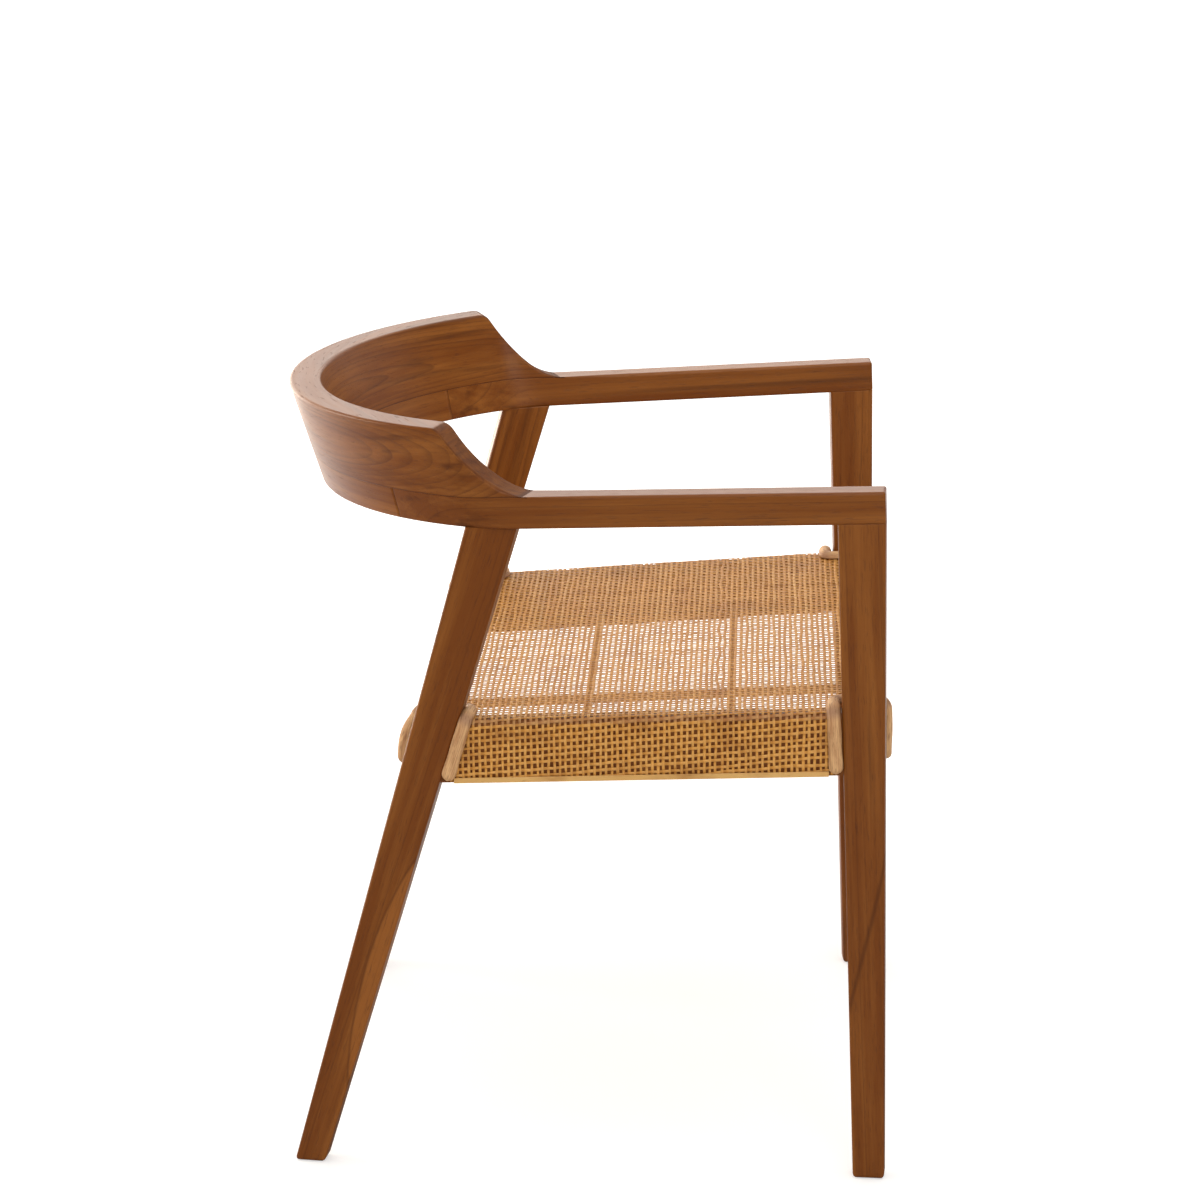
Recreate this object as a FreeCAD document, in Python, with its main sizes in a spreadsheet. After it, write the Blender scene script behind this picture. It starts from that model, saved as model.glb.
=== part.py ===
import FreeCAD, Part
import Sketcher
import collections
import math
import os

# Low-backed wooden armchair with a woven cane seat. Millimetres, Z up, the sitter faces -Y.
# The left-hand pieces stand on +X and the right-hand ones are their mirror images.

SIZES = {
    # Arms: straight bars that toe in and drop a little towards the back
    "arm_half_spread": 285,
    "arm_front_reach": 278,
    "arm_top_height": 660,
    "arm_width": 26,
    "arm_depth": 30,
    "arm_toe_angle": 4.07,
    "arm_slope_angle": 2.09,
    "arm_lead": 30,
    # Back: a ring level with the arms and a leaning crest glued on it
    "back_center_lead": 166,
    "back_swell": 10.1,
    "back_corner_radius": 150,
    "back_lean": 27,
    "back_joint_angle": 41.5,
    "tongue_length": 40,
    "tongue_height": 16,
    "tongue_thickness": 9,
    "crest_height": 67,
    "crest_thickness": 30,
    "crest_tip_angle": 27.8,
    "scoop_length": 72,
    "scoop_skew_angle": 20,
    "scoop_nose": 0.8,
    # Front legs: upright, tapering to the foot, splayed a little
    "front_leg_width": 26,
    "front_leg_depth": 43.5,
    "front_foot_width": 22.3,
    "front_foot_depth": 29.4,
    "front_foot_splay": 7.5,
    "front_foot_advance": 6.4,
    # Rear legs: raked backwards under the bend of the arms
    "rear_leg_lead": 92.6,
    "rear_leg_inset": 3.4,
    "rear_leg_width": 26,
    "rear_leg_depth": 48,
    "rear_leg_turn_angle": 8,
    "rear_foot_width": 22,
    "rear_foot_depth": 28.7,
    "rear_foot_setback": 188.7,
    "rear_foot_splay": 9.8,
    "leg_easing": 3,
    "leg_tenon_width": 10,
    "leg_tenon_depth": 22,
    "leg_tenon_height": 16,
    # Seat rails: a sloping frame between the legs, tenoned into them
    "seat_front_height": 454,
    "seat_slope_angle": 2.87,
    "seat_depth": 425,
    "seat_rear_rake_angle": 15.05,
    "rail_height": 58.5,
    "rail_thickness": 20,
    "rail_tenon_thickness": 10,
    "rail_tenon_height": 34,
    "rail_tenon_length": 14,
    # Cane mat over the rails, with half-round trim round each leg
    "weave_thickness": 2.5,
    "weave_edge_radius": 8,
    "fit_gap": 0.3,
    "pole_width": 14,
    "pole_rise": 6.5,
    "pole_turn_radius": 9,
    "pole_end_rise": 2.5,
    "pole_end_lift": 6,
    "rear_pole_bow": 2.2,
    "strip_height": 6,
    "strip_thickness": 1.2,
    # Supports under the mat
    "cane_diameter": 8,
    "cane_rise": 10,
    "cane_bearing": 8,
    "front_cane_setback": 139,
    "rear_cane_setback": 278,
    "batten_width": 9,
    "batten_thickness": 7,
    "screw_length": 22,
    "screw_shank_diameter": 3,
    "screw_head_diameter": 6,
    "screw_head_depth": 2,
    # How far every cutting tool runs past what it cuts
    "overrun": 20,
}
# Places that follow the seat: the back's center and the rear legs keep their lead on its rear edge
FOLLOWERS = {
    "back_center_setback": "=seat_depth - back_center_lead",
    "rear_leg_setback": "=seat_depth - rear_leg_lead",
}
SCOOP_BEND_SHARE = 0.54
TOE_BEND_SHARE = 0.36
WEAVE_OPEN_SHARE = 0.42
WEAVE_COLUMNS = 10
WEAVE_ROWS = 8
TRIM_STEPS = 4
TRIM_FACETS = 6

doc = FreeCAD.newDocument("armchair")
sheet = doc.addObject("Spreadsheet::Sheet", "sizes")
for row, (alias, value) in enumerate({**SIZES, **FOLLOWERS}.items(), start=1):
    sheet.set(f"A{row}", alias)
    sheet.set(f"B{row}", str(value))
    sheet.setAlias(f"B{row}", alias)
doc.recompute()

UP = FreeCAD.Vector(0, 0, 1)
ACROSS = FreeCAD.Vector(1, 0, 0)


def size(alias):
    return float(sheet.get(alias))


def angle(alias):
    return math.radians(size(alias))


def vec(across, along, up=0.0):
    return FreeCAD.Vector(across, along, up)


def place(base, axis=UP, degrees=0.0):
    return FreeCAD.Placement(base, FreeCAD.Rotation(axis, degrees))


# Arm frame: a plane that drops towards the back, under the arms and the back ring
ARM_FRAME = place(
    vec(0, -size("arm_front_reach"), size("arm_top_height") - size("arm_depth")),
    ACROSS,
    -size("arm_slope_angle"),
)
BACK_HEIGHT = size("arm_depth") + size("crest_height")


def direction(radians):
    return vec(math.cos(radians), math.sin(radians))


def tangent(radians):
    return vec(-math.sin(radians), math.cos(radians))


# Document helpers
def boolean(kind, name, base, tool):
    result = doc.addObject(kind, name)
    result.Base = base
    result.Tool = tool
    return result


def fused(name, members):
    result = doc.addObject("Part::MultiFuse", name)
    result.Shapes = members
    return result


def feature(name, shape):
    result = doc.addObject("Part::Feature", name)
    result.Shape = shape
    return result


def bind(item, side, length):
    # A length is an expression on the sheet, or a number worked out from it
    if isinstance(length, str):
        item.setExpression(side, length)
    else:
        setattr(item, side, length)


def box(name, lengths, placement):
    result = doc.addObject("Part::Box", name)
    for side, length in zip(("Length", "Width", "Height"), lengths):
        bind(result, side, length)
    result.Placement = placement
    return result


def cylinder(name, diameter, length, placement):
    result = doc.addObject("Part::Cylinder", name)
    bind(result, "Radius", f"{diameter} / 2")
    bind(result, "Height", length)
    result.Placement = placement
    return result


def mirrored(name, source):
    result = doc.addObject("Part::Mirroring", name)
    result.Source = source
    result.Normal = ACROSS
    return result


def closed_wire(edges):
    return Part.Wire(Part.__sortEdges__(edges))


def polygon(points):
    return Part.makePolygon(points + points[:1])


def enclosed(outlines):
    # The solid inside flat faces, each given by its corners
    solid = Part.Solid(Part.Shell([Part.Face(polygon(list(corners))) for corners in outlines]))
    if solid.Volume < 0:
        solid.reverse()
    return solid


def side_quads(bottom, top):
    return list(zip(bottom, bottom[1:] + bottom[:1], top[1:] + top[:1], top))


def prism(bottom, top):
    return enclosed([*side_quads(bottom, top), bottom, top])


# Legs: eased rectangular sections, lofted from the foot to the arm
def eased_rectangle(sketch, wide, deep, easing):
    far, high = easing - wide, deep - easing
    runs = [
        (vec(-easing, 0), vec(far, 0)), (vec(-wide, easing), vec(-wide, high)),
        (vec(far, deep), vec(-easing, deep)), (vec(0, high), vec(0, easing)),
    ]
    for run in runs:
        sketch.addGeometry(Part.LineSegment(*run))
    centers = [vec(far, easing), vec(far, high), vec(-easing, high), vec(-easing, easing)]
    for quarter, center in enumerate(centers):
        start = math.pi - quarter * math.pi / 2
        circle = Part.Circle(center, UP, easing)
        sketch.addGeometry(Part.ArcOfCircle(circle, start, start + math.pi / 2))
    for line in range(4):
        arc, following = line + 4, (line + 1) % 4
        sketch.addConstraint(Sketcher.Constraint("Tangent", line, 2, arc, 2))
        sketch.addConstraint(Sketcher.Constraint("Tangent", following, 1, arc, 1))
        sketch.addConstraint(Sketcher.Constraint("Vertical" if line % 2 else "Horizontal", line))
    for arc in (5, 6, 7):
        sketch.addConstraint(Sketcher.Constraint("Equal", 4, arc))
    sketch.addConstraint(Sketcher.Constraint("PointOnObject", 0, 1, -1))
    sketch.addConstraint(Sketcher.Constraint("PointOnObject", 3, 1, -2))


def leg_section(body, name, offset, turn, width, depth):
    sketch = body.newObject("Sketcher::SketchObject", name)
    ground = next(item for item in body.Origin.OriginFeatures if item.Role == "XY_Plane")
    sketch.AttachmentSupport = (ground, [""])
    sketch.MapMode = "FlatFace"
    sketch.AttachmentOffset = place(vec(0, 0), UP, size(turn))
    for axis, expression in zip("xyz", offset):
        sketch.setExpression(f"AttachmentOffset.Base.{axis}", expression)
    sketch.setExpression("AttachmentOffset.Rotation.Angle", f"sizes.{turn}")
    eased_rectangle(sketch, size(width), size(depth), size("leg_easing"))
    driven = (
        (Sketcher.Constraint("DistanceX", 1, 1, 3, 2, size(width)), width),
        (Sketcher.Constraint("DistanceY", 0, 1, 2, 1, size(depth)), depth),
        (Sketcher.Constraint("Radius", 4, size("leg_easing")), "leg_easing"),
    )
    for constraint, alias in driven:
        number = sketch.addConstraint(constraint)
        sketch.setExpression(f"Constraints[{number}]", f"sizes.{alias}")
    return sketch


def leg_blank(name, foot, top, turn):
    body = doc.addObject("PartDesign::Body", f"{name}_blank")
    foot_sketch = leg_section(body, f"{name}_foot_section", foot["offset"], turn, *foot["section"])
    top_sketch = leg_section(body, f"{name}_top_section", top["offset"], turn, *top["section"])
    taper = body.newObject("PartDesign::AdditiveLoft", f"{name}_taper")
    taper.Profile = foot_sketch
    taper.Sections = [top_sketch]
    taper.Ruled = True
    doc.recompute()
    return body


def arm_underside(along):
    return size("arm_top_height") - size("arm_depth") - along * math.tan(angle("arm_slope_angle"))


FRONT_LEG = {
    "foot": {
        "offset": ("sizes.arm_half_spread + sizes.front_foot_splay",
                   "-sizes.arm_front_reach - sizes.front_foot_advance", "0"),
        "section": ("front_foot_width", "front_foot_depth"),
    },
    "top": {
        "offset": ("sizes.arm_half_spread", "-sizes.arm_front_reach",
                   "sizes.arm_top_height - sizes.arm_depth"),
        "section": ("front_leg_width", "front_leg_depth"),
    },
}
REAR_TOP_ACROSS = "sizes.arm_half_spread - sizes.rear_leg_inset - " \
    "sizes.rear_leg_setback * tan(sizes.arm_toe_angle * 1 deg)"
REAR_TOP_ALONG = "sizes.rear_leg_setback - sizes.arm_front_reach"
REAR_LEG = {
    "foot": {
        "offset": (f"{REAR_TOP_ACROSS} + sizes.rear_foot_splay",
                   f"{REAR_TOP_ALONG} + sizes.rear_foot_setback", "0"),
        "section": ("rear_foot_width", "rear_foot_depth"),
    },
    "top": {
        "offset": (REAR_TOP_ACROSS, REAR_TOP_ALONG,
                   "sizes.arm_top_height - sizes.arm_depth - "
                   "sizes.rear_leg_setback * tan(sizes.arm_slope_angle * 1 deg)"),
        "section": ("rear_leg_width", "rear_leg_depth"),
    },
}
front_leg_blank = leg_blank("front_leg", FRONT_LEG["foot"], FRONT_LEG["top"], "arm_toe_angle")
rear_leg_blank = leg_blank("rear_leg", REAR_LEG["foot"], REAR_LEG["top"], "rear_leg_turn_angle")


# Back ring and crest, drawn in the arm frame: X across, Y along the arms, Z square to them
TOE = angle("arm_toe_angle")
CENTER = vec(0, size("back_center_setback"))
LINE_REACH = (size("arm_half_spread") - size("back_center_setback") * math.tan(TOE)) * math.cos(TOE)
BACK_RADIUS = LINE_REACH + size("back_swell")
CORNER_REACH = BACK_RADIUS - size("back_corner_radius")
CORNER_TURN = TOE + math.acos((LINE_REACH - size("back_corner_radius")) / CORNER_REACH)
CORNER = CENTER + direction(CORNER_TURN) * CORNER_REACH


def outline_half(inset, lean, level):
    lift = vec(0, 0, level)
    turn = CORNER + direction(TOE) * (size("back_corner_radius") - inset["arm"])
    join = CENTER + direction(CORNER_TURN) * (BACK_RADIUS + lean - inset["back"])
    start = turn - tangent(TOE) * size("arm_lead")
    pull = (join - turn).Length * TOE_BEND_SHARE
    bend = Part.BezierCurve()
    bend.setPoles([
        turn + lift, turn + tangent(TOE) * pull + lift,
        join - tangent(CORNER_TURN) * pull + lift, join + lift,
    ])
    return start + lift, turn + lift, bend, join + lift


def flipped(point):
    return vec(-point.x, point.y, point.z)


def flipped_bend(bend):
    result = Part.BezierCurve()
    result.setPoles([flipped(pole) for pole in bend.getPoles()])
    return result


def outline_edges(inset, lean, level):
    start, turn, bend, join = outline_half(inset, lean, level)
    apex = CENTER + vec(0, BACK_RADIUS + lean - inset["back"], level)
    edges = [
        Part.LineSegment(start, turn).toShape(),
        bend.toShape(),
        Part.Arc(join, apex, flipped(join)).toShape(),
        flipped_bend(bend).toShape(),
        Part.LineSegment(flipped(turn), flipped(start)).toShape(),
    ]
    return start, edges


def back_section(lean, thickness, level):
    outer_start, outer = outline_edges({"arm": 0, "back": 0}, lean, level)
    inset = {"arm": size("arm_width"), "back": thickness}
    inner_start, inner = outline_edges(inset, lean, level)
    ends = [
        Part.LineSegment(outer_start, inner_start).toShape(),
        Part.LineSegment(flipped(outer_start), flipped(inner_start)).toShape(),
    ]
    return closed_wire(outer + inner + ends)


def back_blank():
    foot = back_section(0, size("arm_width"), 0)
    head = back_section(size("back_lean"), size("crest_thickness"), BACK_HEIGHT)
    return Part.makeLoft([foot, head], True, True)


def layer(bottom, top):
    reach = size("arm_half_spread") + BACK_RADIUS
    return Part.makeBox(2 * reach, 2 * reach, top - bottom, vec(-reach, 0, bottom))


def joint_quarter():
    reach = BACK_RADIUS + size("back_lean") + size("overrun")
    quarter = Part.makeBox(reach, reach, BACK_HEIGHT, vec(0, -reach, 0))
    quarter.Placement = place(CENTER, UP, size("back_joint_angle"))
    return quarter


def scoop_cutter():
    skew = angle("scoop_skew_angle")
    tip = CENTER + direction(angle("crest_tip_angle")) * (BACK_RADIUS + size("back_lean"))
    run, over = size("scoop_length"), size("overrun")
    foot = tip - tangent(skew) * run
    nose = size("arm_depth") + size("scoop_nose")
    bend = Part.BezierCurve()
    knee = tip - tangent(skew) * (run * SCOOP_BEND_SHARE)
    bend.setPoles([tip + UP * BACK_HEIGHT, knee + UP * nose, foot + UP * nose])
    ahead = foot - tangent(skew) * (size("arm_lead") + run)
    below = UP * (size("arm_depth") - over)
    above = UP * (BACK_HEIGHT + over)
    outline = [foot + UP * nose, foot + below, ahead + below, ahead + above, tip + above,
               tip + UP * BACK_HEIGHT]
    edges = [Part.LineSegment(*pair).toShape() for pair in zip(outline, outline[1:])]
    face = Part.Face(Part.Wire(edges + [bend.toShape()]))
    half_run = direction(skew) * (size("crest_thickness") + size("arm_width") + over)
    face.translate(half_run * -1)
    return face.extrude(half_run * 2)


def straight_arm():
    start = outline_half({"arm": 0, "back": 0}, 0, 0)[0]
    front = vec(size("arm_half_spread"), 0)
    bar = Part.makeBox(size("arm_width"), (start - front).Length, size("arm_depth"),
                       vec(-size("arm_width"), 0))
    bar.Placement = place(front, UP, size("arm_toe_angle"))
    return bar


BLANK = back_blank()
QUARTER = joint_quarter()
RING = BLANK.common(layer(0, size("arm_depth")))
arm_shape = straight_arm().fuse(RING.common(QUARTER)).removeSplitter()
rail_shape = RING.cut(QUARTER).cut(QUARTER.mirror(vec(0, 0), ACROSS))
scoop = scoop_cutter()
crest_shape = BLANK.common(layer(size("arm_depth"), BACK_HEIGHT))
crest_shape = crest_shape.cut(scoop).cut(scoop.mirror(vec(0, 0), ACROSS))

arm_blank = feature("arm_blank", arm_shape)
rail_blank = feature("back_rail_blank", rail_shape)
back_crest = feature("back_crest", crest_shape)
for piece in (arm_blank, rail_blank, back_crest):
    piece.Placement = ARM_FRAME


# Loose tongues that hold the arms to the back rail
def tongue_place():
    turn = angle("back_joint_angle")
    half_share = size("arm_depth") / (2 * BACK_HEIGHT)
    outer = BACK_RADIUS + size("back_lean") * half_share
    growth = (size("crest_thickness") - size("arm_width")) * half_share
    middle = outer - (size("arm_width") + growth) / 2
    base = CENTER + direction(turn) * middle + UP * (size("arm_depth") / 2)
    corner = vec(-size("tongue_thickness") / 2, -size("tongue_length") / 2, -size("tongue_height") / 2)
    spot = place(base, UP, size("back_joint_angle"))
    return ARM_FRAME.multiply(spot).multiply(place(corner))


tongue_left = box(
    "back_tongue_left",
    ("sizes.tongue_thickness", "sizes.tongue_length", "sizes.tongue_height"),
    tongue_place(),
)
tongue_right = mirrored("back_tongue_right", tongue_left)


# Tenons on the leg tops, square to the arm frame
def leg_tenon(name, across, along, turn):
    spot = ARM_FRAME.multiply(place(vec(across, along), UP, turn))
    corner = vec(-size("leg_tenon_width") / 2, -size("leg_tenon_depth") / 2, -size("leg_tenon_height"))
    return box(
        name,
        ("sizes.leg_tenon_width", "sizes.leg_tenon_depth", "2 * sizes.leg_tenon_height"),
        spot.multiply(place(corner)),
    )


def section_middle(across, along, turn, width, depth):
    middle = vec(across, along) - direction(turn) * (width / 2) + tangent(turn) * (depth / 2)
    return middle.x, middle.y


front_middle = section_middle(
    size("arm_half_spread"), 0, TOE, size("front_leg_width"), size("front_leg_depth"))
rear_corner = size("arm_half_spread") - size("rear_leg_inset") - size("rear_leg_setback") * math.tan(TOE)
rear_middle = section_middle(
    rear_corner, size("rear_leg_setback"), angle("rear_leg_turn_angle"),
    size("rear_leg_width"), size("rear_leg_depth"))
front_leg_tenon = leg_tenon("front_leg_tenon", *front_middle, size("arm_toe_angle"))
rear_leg_tenon = leg_tenon("rear_leg_tenon", *rear_middle, size("rear_leg_turn_angle"))
arm_left = boolean(
    "Part::Cut", "arm_left", arm_blank,
    fused("arm_left_mortises", [front_leg_tenon, rear_leg_tenon, tongue_left]))
arm_right = mirrored("arm_right", arm_left)
back_rail = boolean(
    "Part::Cut", "back_rail", rail_blank, fused("back_rail_mortises", [tongue_left, tongue_right]))
arm_plane = box(
    "arm_plane",
    ("2 * sizes.arm_half_spread", "sizes.rear_leg_setback + 2 * sizes.rear_leg_depth", "sizes.arm_depth"),
    ARM_FRAME.multiply(place(vec(-size("arm_half_spread"), -size("overrun")))),
)


# Seat block: what the four rails enclose, between two sloping planes and four sides
SEAT_FRONT = -size("arm_front_reach")
SEAT_SLOPE = math.tan(angle("seat_slope_angle"))
REAR_RAKE = math.tan(angle("seat_rear_rake_angle"))


def seat_top(along):
    return size("seat_front_height") - (along - SEAT_FRONT) * SEAT_SLOPE


def seat_bottom(along):
    return seat_top(along) - size("rail_height")


def seat_side(along, inset=0.0):
    return size("arm_half_spread") - (along - SEAT_FRONT) * math.tan(TOE) - inset / math.cos(TOE)


def seat_rear(lift, inset):
    # The raked rear face meets the plane that lies this far above the rails' top
    rear = SEAT_FRONT + size("seat_depth") - inset / math.cos(angle("seat_rear_rake_angle"))
    return rear - lift * REAR_RAKE / (1 - REAR_RAKE * SEAT_SLOPE)


def seat_corners(lift, side_inset, end_inset):
    front = SEAT_FRONT + end_inset
    rear = seat_rear(lift, end_inset)
    return [
        vec(side * seat_side(along, side_inset), along, seat_top(along) + lift)
        for side, along in ((1, front), (1, rear), (-1, rear), (-1, front))
    ]


def seat_block(side_inset, end_inset, above, below):
    bottom = seat_corners(-size("rail_height") - below, side_inset, end_inset)
    return prism(bottom, seat_corners(above, side_inset, end_inset))


def rounded_block(thickness, radius):
    block = seat_block(-thickness, -thickness, thickness, 0)
    crown = [
        edge for edge in block.Edges
        if all(abs(point.Z - seat_top(point.Y) - thickness) < radius / 2 for point in edge.Vertexes)
    ]
    return block.makeFillet(radius, crown)


# Plan of a leg at a height, from its outer front corner
LegPlan = collections.namedtuple("LegPlan", "corner width depth turn")


def between(low, high, share):
    return low + (high - low) * share


def front_leg_plan(height):
    share = height / arm_underside(0)
    corner = vec(
        size("arm_half_spread") + between(size("front_foot_splay"), 0, share),
        SEAT_FRONT - between(size("front_foot_advance"), 0, share), height)
    width = between(size("front_foot_width"), size("front_leg_width"), share)
    depth = between(size("front_foot_depth"), size("front_leg_depth"), share)
    return LegPlan(corner, width, depth, TOE)


def rear_leg_plan(height):
    share = height / arm_underside(size("rear_leg_setback"))
    corner = vec(
        rear_corner + between(size("rear_foot_splay"), 0, share),
        SEAT_FRONT + size("rear_leg_setback") + between(size("rear_foot_setback"), 0, share), height)
    width = between(size("rear_foot_width"), size("rear_leg_width"), share)
    depth = between(size("rear_foot_depth"), size("rear_leg_depth"), share)
    return LegPlan(corner, width, depth, angle("rear_leg_turn_angle"))


def inner_corner(plan, depth_share, gap):
    # Inner front or inner rear corner of a leg, moved out by a gap on both faces
    side = 2 * depth_share - 1
    inward = direction(plan.turn) * (plan.width + gap)
    return plan.corner - inward + tangent(plan.turn) * (plan.depth * depth_share + side * gap)


# Notches: what the legs take out of the rails and the mat, open to the outside
def notch_corners(plan, depth_share, gap, inward):
    near = inner_corner(plan, depth_share, gap) - direction(plan.turn) * inward
    away = tangent(plan.turn) * ((1 - 2 * depth_share) * 2 * plan.depth)
    out = direction(plan.turn) * (2 * plan.width + inward)
    return [near, near + away, near + away + out, near + out]


def notched(shape, gap, inward=0.0):
    low = seat_bottom(SEAT_FRONT + size("seat_depth")) - size("overrun")
    high = size("seat_front_height") + size("overrun")
    for leg_plan, depth_share in ((front_leg_plan, 1), (rear_leg_plan, 0)):
        notch = prism(*[
            notch_corners(leg_plan(height), depth_share, gap, inward) for height in (low, high)
        ])
        shape = shape.cut(notch).cut(notch.mirror(vec(0, 0), ACROSS))
    return shape


THICK = size("weave_thickness")
RAIL = size("rail_thickness")
OVER = size("overrun")
rail_envelope = rounded_block(0, size("weave_edge_radius") - THICK)
cross_rails = notched(rail_envelope.cut(seat_block(-OVER, RAIL, OVER, OVER)), 0)
side_rails = notched(rail_envelope.cut(seat_block(RAIL, -OVER, OVER, OVER)), 0, inward=RAIL)
from_front = sorted(cross_rails.Solids, key=lambda solid: solid.CenterOfMass.y)
from_right = sorted(side_rails.Solids, key=lambda solid: solid.CenterOfMass.x)
front_rail_blank = feature("seat_front_rail_blank", from_front[0])
rear_rail_blank = feature("seat_rear_rail_blank", from_front[-1])
side_rail_blank = feature("seat_side_rail_blank", from_right[-1])


# Tenon cores: one bar runs the length of each rail and into both legs
def core(name, length, placement):
    return box(name, ("sizes.rail_tenon_thickness", length, "sizes.rail_tenon_height"), placement)


def core_corner(length):
    return place(vec(-size("rail_tenon_thickness") / 2, -length / 2, -size("rail_tenon_height") / 2))


def side_core():
    tenon = size("rail_tenon_length")
    middle_height = size("seat_front_height") - size("rail_height") / 2
    front = inner_corner(front_leg_plan(middle_height), 1, 0).y - tenon
    rear = inner_corner(rear_leg_plan(middle_height - size("seat_depth") * SEAT_SLOPE), 0, 0).y + tenon
    middle = (front + rear) / 2
    length = (rear - front) / math.cos(TOE)
    spot = vec(seat_side(middle, size("rail_thickness") / 2), middle,
               (seat_top(middle) + seat_bottom(middle)) / 2)
    turn = FreeCAD.Rotation(UP, size("arm_toe_angle")).multiply(
        FreeCAD.Rotation(ACROSS, -size("seat_slope_angle")))
    return core("side_rail_core", length, FreeCAD.Placement(spot, turn).multiply(core_corner(length)))


def cross_core(name, along, height, reach, rake):
    length = 2 * (reach + size("rail_tenon_length"))
    lying = FreeCAD.Rotation(ACROSS, rake).multiply(FreeCAD.Rotation(UP, 90))
    return core(name, length, FreeCAD.Placement(vec(0, along, height), lying).multiply(core_corner(length)))


def front_core():
    along = SEAT_FRONT + size("rail_thickness") / 2
    height = (seat_top(along) + seat_bottom(along)) / 2
    reach = inner_corner(front_leg_plan(height), 0, 0).x
    return cross_core("front_rail_core", along, height, reach, 0)


def rear_core():
    along = seat_rear(-size("rail_height") / 2, size("rail_thickness") / 2)
    height = seat_top(along) - size("rail_height") / 2
    reach = inner_corner(rear_leg_plan(height), 1, 0).x
    return cross_core("rear_rail_core", along, height, reach, size("seat_rear_rake_angle"))


side_rail_core = side_core()
front_rail_core = front_core()
rear_rail_core = rear_core()
front_leg_left = boolean(
    "Part::Cut", "front_leg_left",
    fused("front_leg_with_tenon",
          [boolean("Part::Cut", "front_leg_trimmed", front_leg_blank, arm_plane), front_leg_tenon]),
    fused("front_leg_mortises", [side_rail_core, front_rail_core]))
rear_leg_left = boolean(
    "Part::Cut", "rear_leg_left",
    fused("rear_leg_with_tenon",
          [boolean("Part::Cut", "rear_leg_trimmed", rear_leg_blank, arm_plane), rear_leg_tenon]),
    fused("rear_leg_mortises", [side_rail_core, rear_rail_core]))
front_leg_right = mirrored("front_leg_right", front_leg_left)
rear_leg_right = mirrored("rear_leg_right", rear_leg_left)


# Canes across the frame, let into the side rails, and a batten screwed under it
def cross_cane(name, setback):
    along = SEAT_FRONT + setback
    reach = seat_side(along, size("rail_thickness") - size("cane_bearing"))
    spot = vec(-reach, along, seat_bottom(along) + size("cane_rise"))
    return cylinder(name, "sizes.cane_diameter", 2 * reach, place(spot, vec(0, 1), 90))


front_cane = cross_cane("seat_cross_cane_front", size("front_cane_setback"))
rear_cane = cross_cane("seat_cross_cane_rear", size("rear_cane_setback"))
side_rail_left = boolean(
    "Part::Cut", "seat_side_rail_left",
    fused("side_rail_with_tenons", [side_rail_blank, side_rail_core]),
    fused("side_rail_cane_seats", [front_cane, rear_cane]))
side_rail_right = mirrored("seat_side_rail_right", side_rail_left)

BATTEN_FRONT = SEAT_FRONT + size("rail_thickness") / 2 - size("batten_width")
BATTEN_REAR = seat_rear(-size("rail_height"), size("rail_thickness") / 2) + size("batten_width") / 2
BATTEN_LENGTH = (BATTEN_REAR - BATTEN_FRONT) / math.cos(angle("seat_slope_angle"))
batten_place = place(vec(0, BATTEN_FRONT, seat_bottom(BATTEN_FRONT)), ACROSS, -size("seat_slope_angle"))
batten_blank = box(
    "batten_blank", ("sizes.batten_width", BATTEN_LENGTH, "sizes.batten_thickness"),
    batten_place.multiply(place(vec(-size("batten_width") / 2, 0, -size("batten_thickness")))))


def screw_shape():
    shank, head = size("screw_shank_diameter") / 2, size("screw_head_diameter") / 2
    profile = polygon([
        vec(0, 0), vec(head, 0), vec(shank, 0, size("screw_head_depth")),
        vec(shank, 0, size("screw_length") - head), vec(0, 0, size("screw_length")),
    ])
    return Part.Face(profile).revolve(vec(0, 0), UP, 360)


def screw_spots():
    spots = []
    for along in (size("batten_width"), BATTEN_LENGTH - size("batten_width") / 2):
        spots.append(batten_place.multiply(place(vec(0, along, -size("batten_thickness")))))
    return spots


screws = []
for spot in screw_spots():
    screw = screw_shape()
    screw.Placement = spot
    screws.append(screw)
batten_screws = feature("batten_screws", Part.makeCompound(screws))
center_batten = boolean("Part::Cut", "seat_center_batten", batten_blank, batten_screws)
front_rail = boolean(
    "Part::Cut", "seat_front_rail",
    fused("front_rail_with_tenons", [front_rail_blank, front_rail_core]), batten_screws)
rear_rail = boolean(
    "Part::Cut", "seat_rear_rail",
    fused("rear_rail_with_tenons", [rear_rail_blank, rear_rail_core]), batten_screws)


# Woven mat: a thin cover over the rails, notched round the legs and open in a plain grid between them
def weave_opening(middle, width, depth):
    corner = middle - vec(width / 2, depth / 2, size("overrun"))
    return Part.makeBox(width, depth, 2 * size("overrun"), corner)


def weave_openings():
    front = SEAT_FRONT + size("rail_thickness")
    rear = seat_rear(0, size("rail_thickness"))
    row_pitch = (rear - front) / WEAVE_ROWS
    blocks = []
    for row in range(WEAVE_ROWS):
        along = front + (row + 0.5) * row_pitch
        reach = seat_side(along + row_pitch / 2, size("rail_thickness"))
        pitch = 2 * reach / WEAVE_COLUMNS
        for column in range(WEAVE_COLUMNS):
            middle = vec((column + 0.5) * pitch - reach, along, seat_top(along))
            blocks.append(weave_opening(middle, pitch * WEAVE_OPEN_SHARE, row_pitch * WEAVE_OPEN_SHARE))
    return blocks


weave_cover = rounded_block(THICK, size("weave_edge_radius")).cut([rail_envelope, *weave_openings()])
seat_weave = feature("seat_weave", notched(weave_cover, size("fit_gap")))


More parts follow.
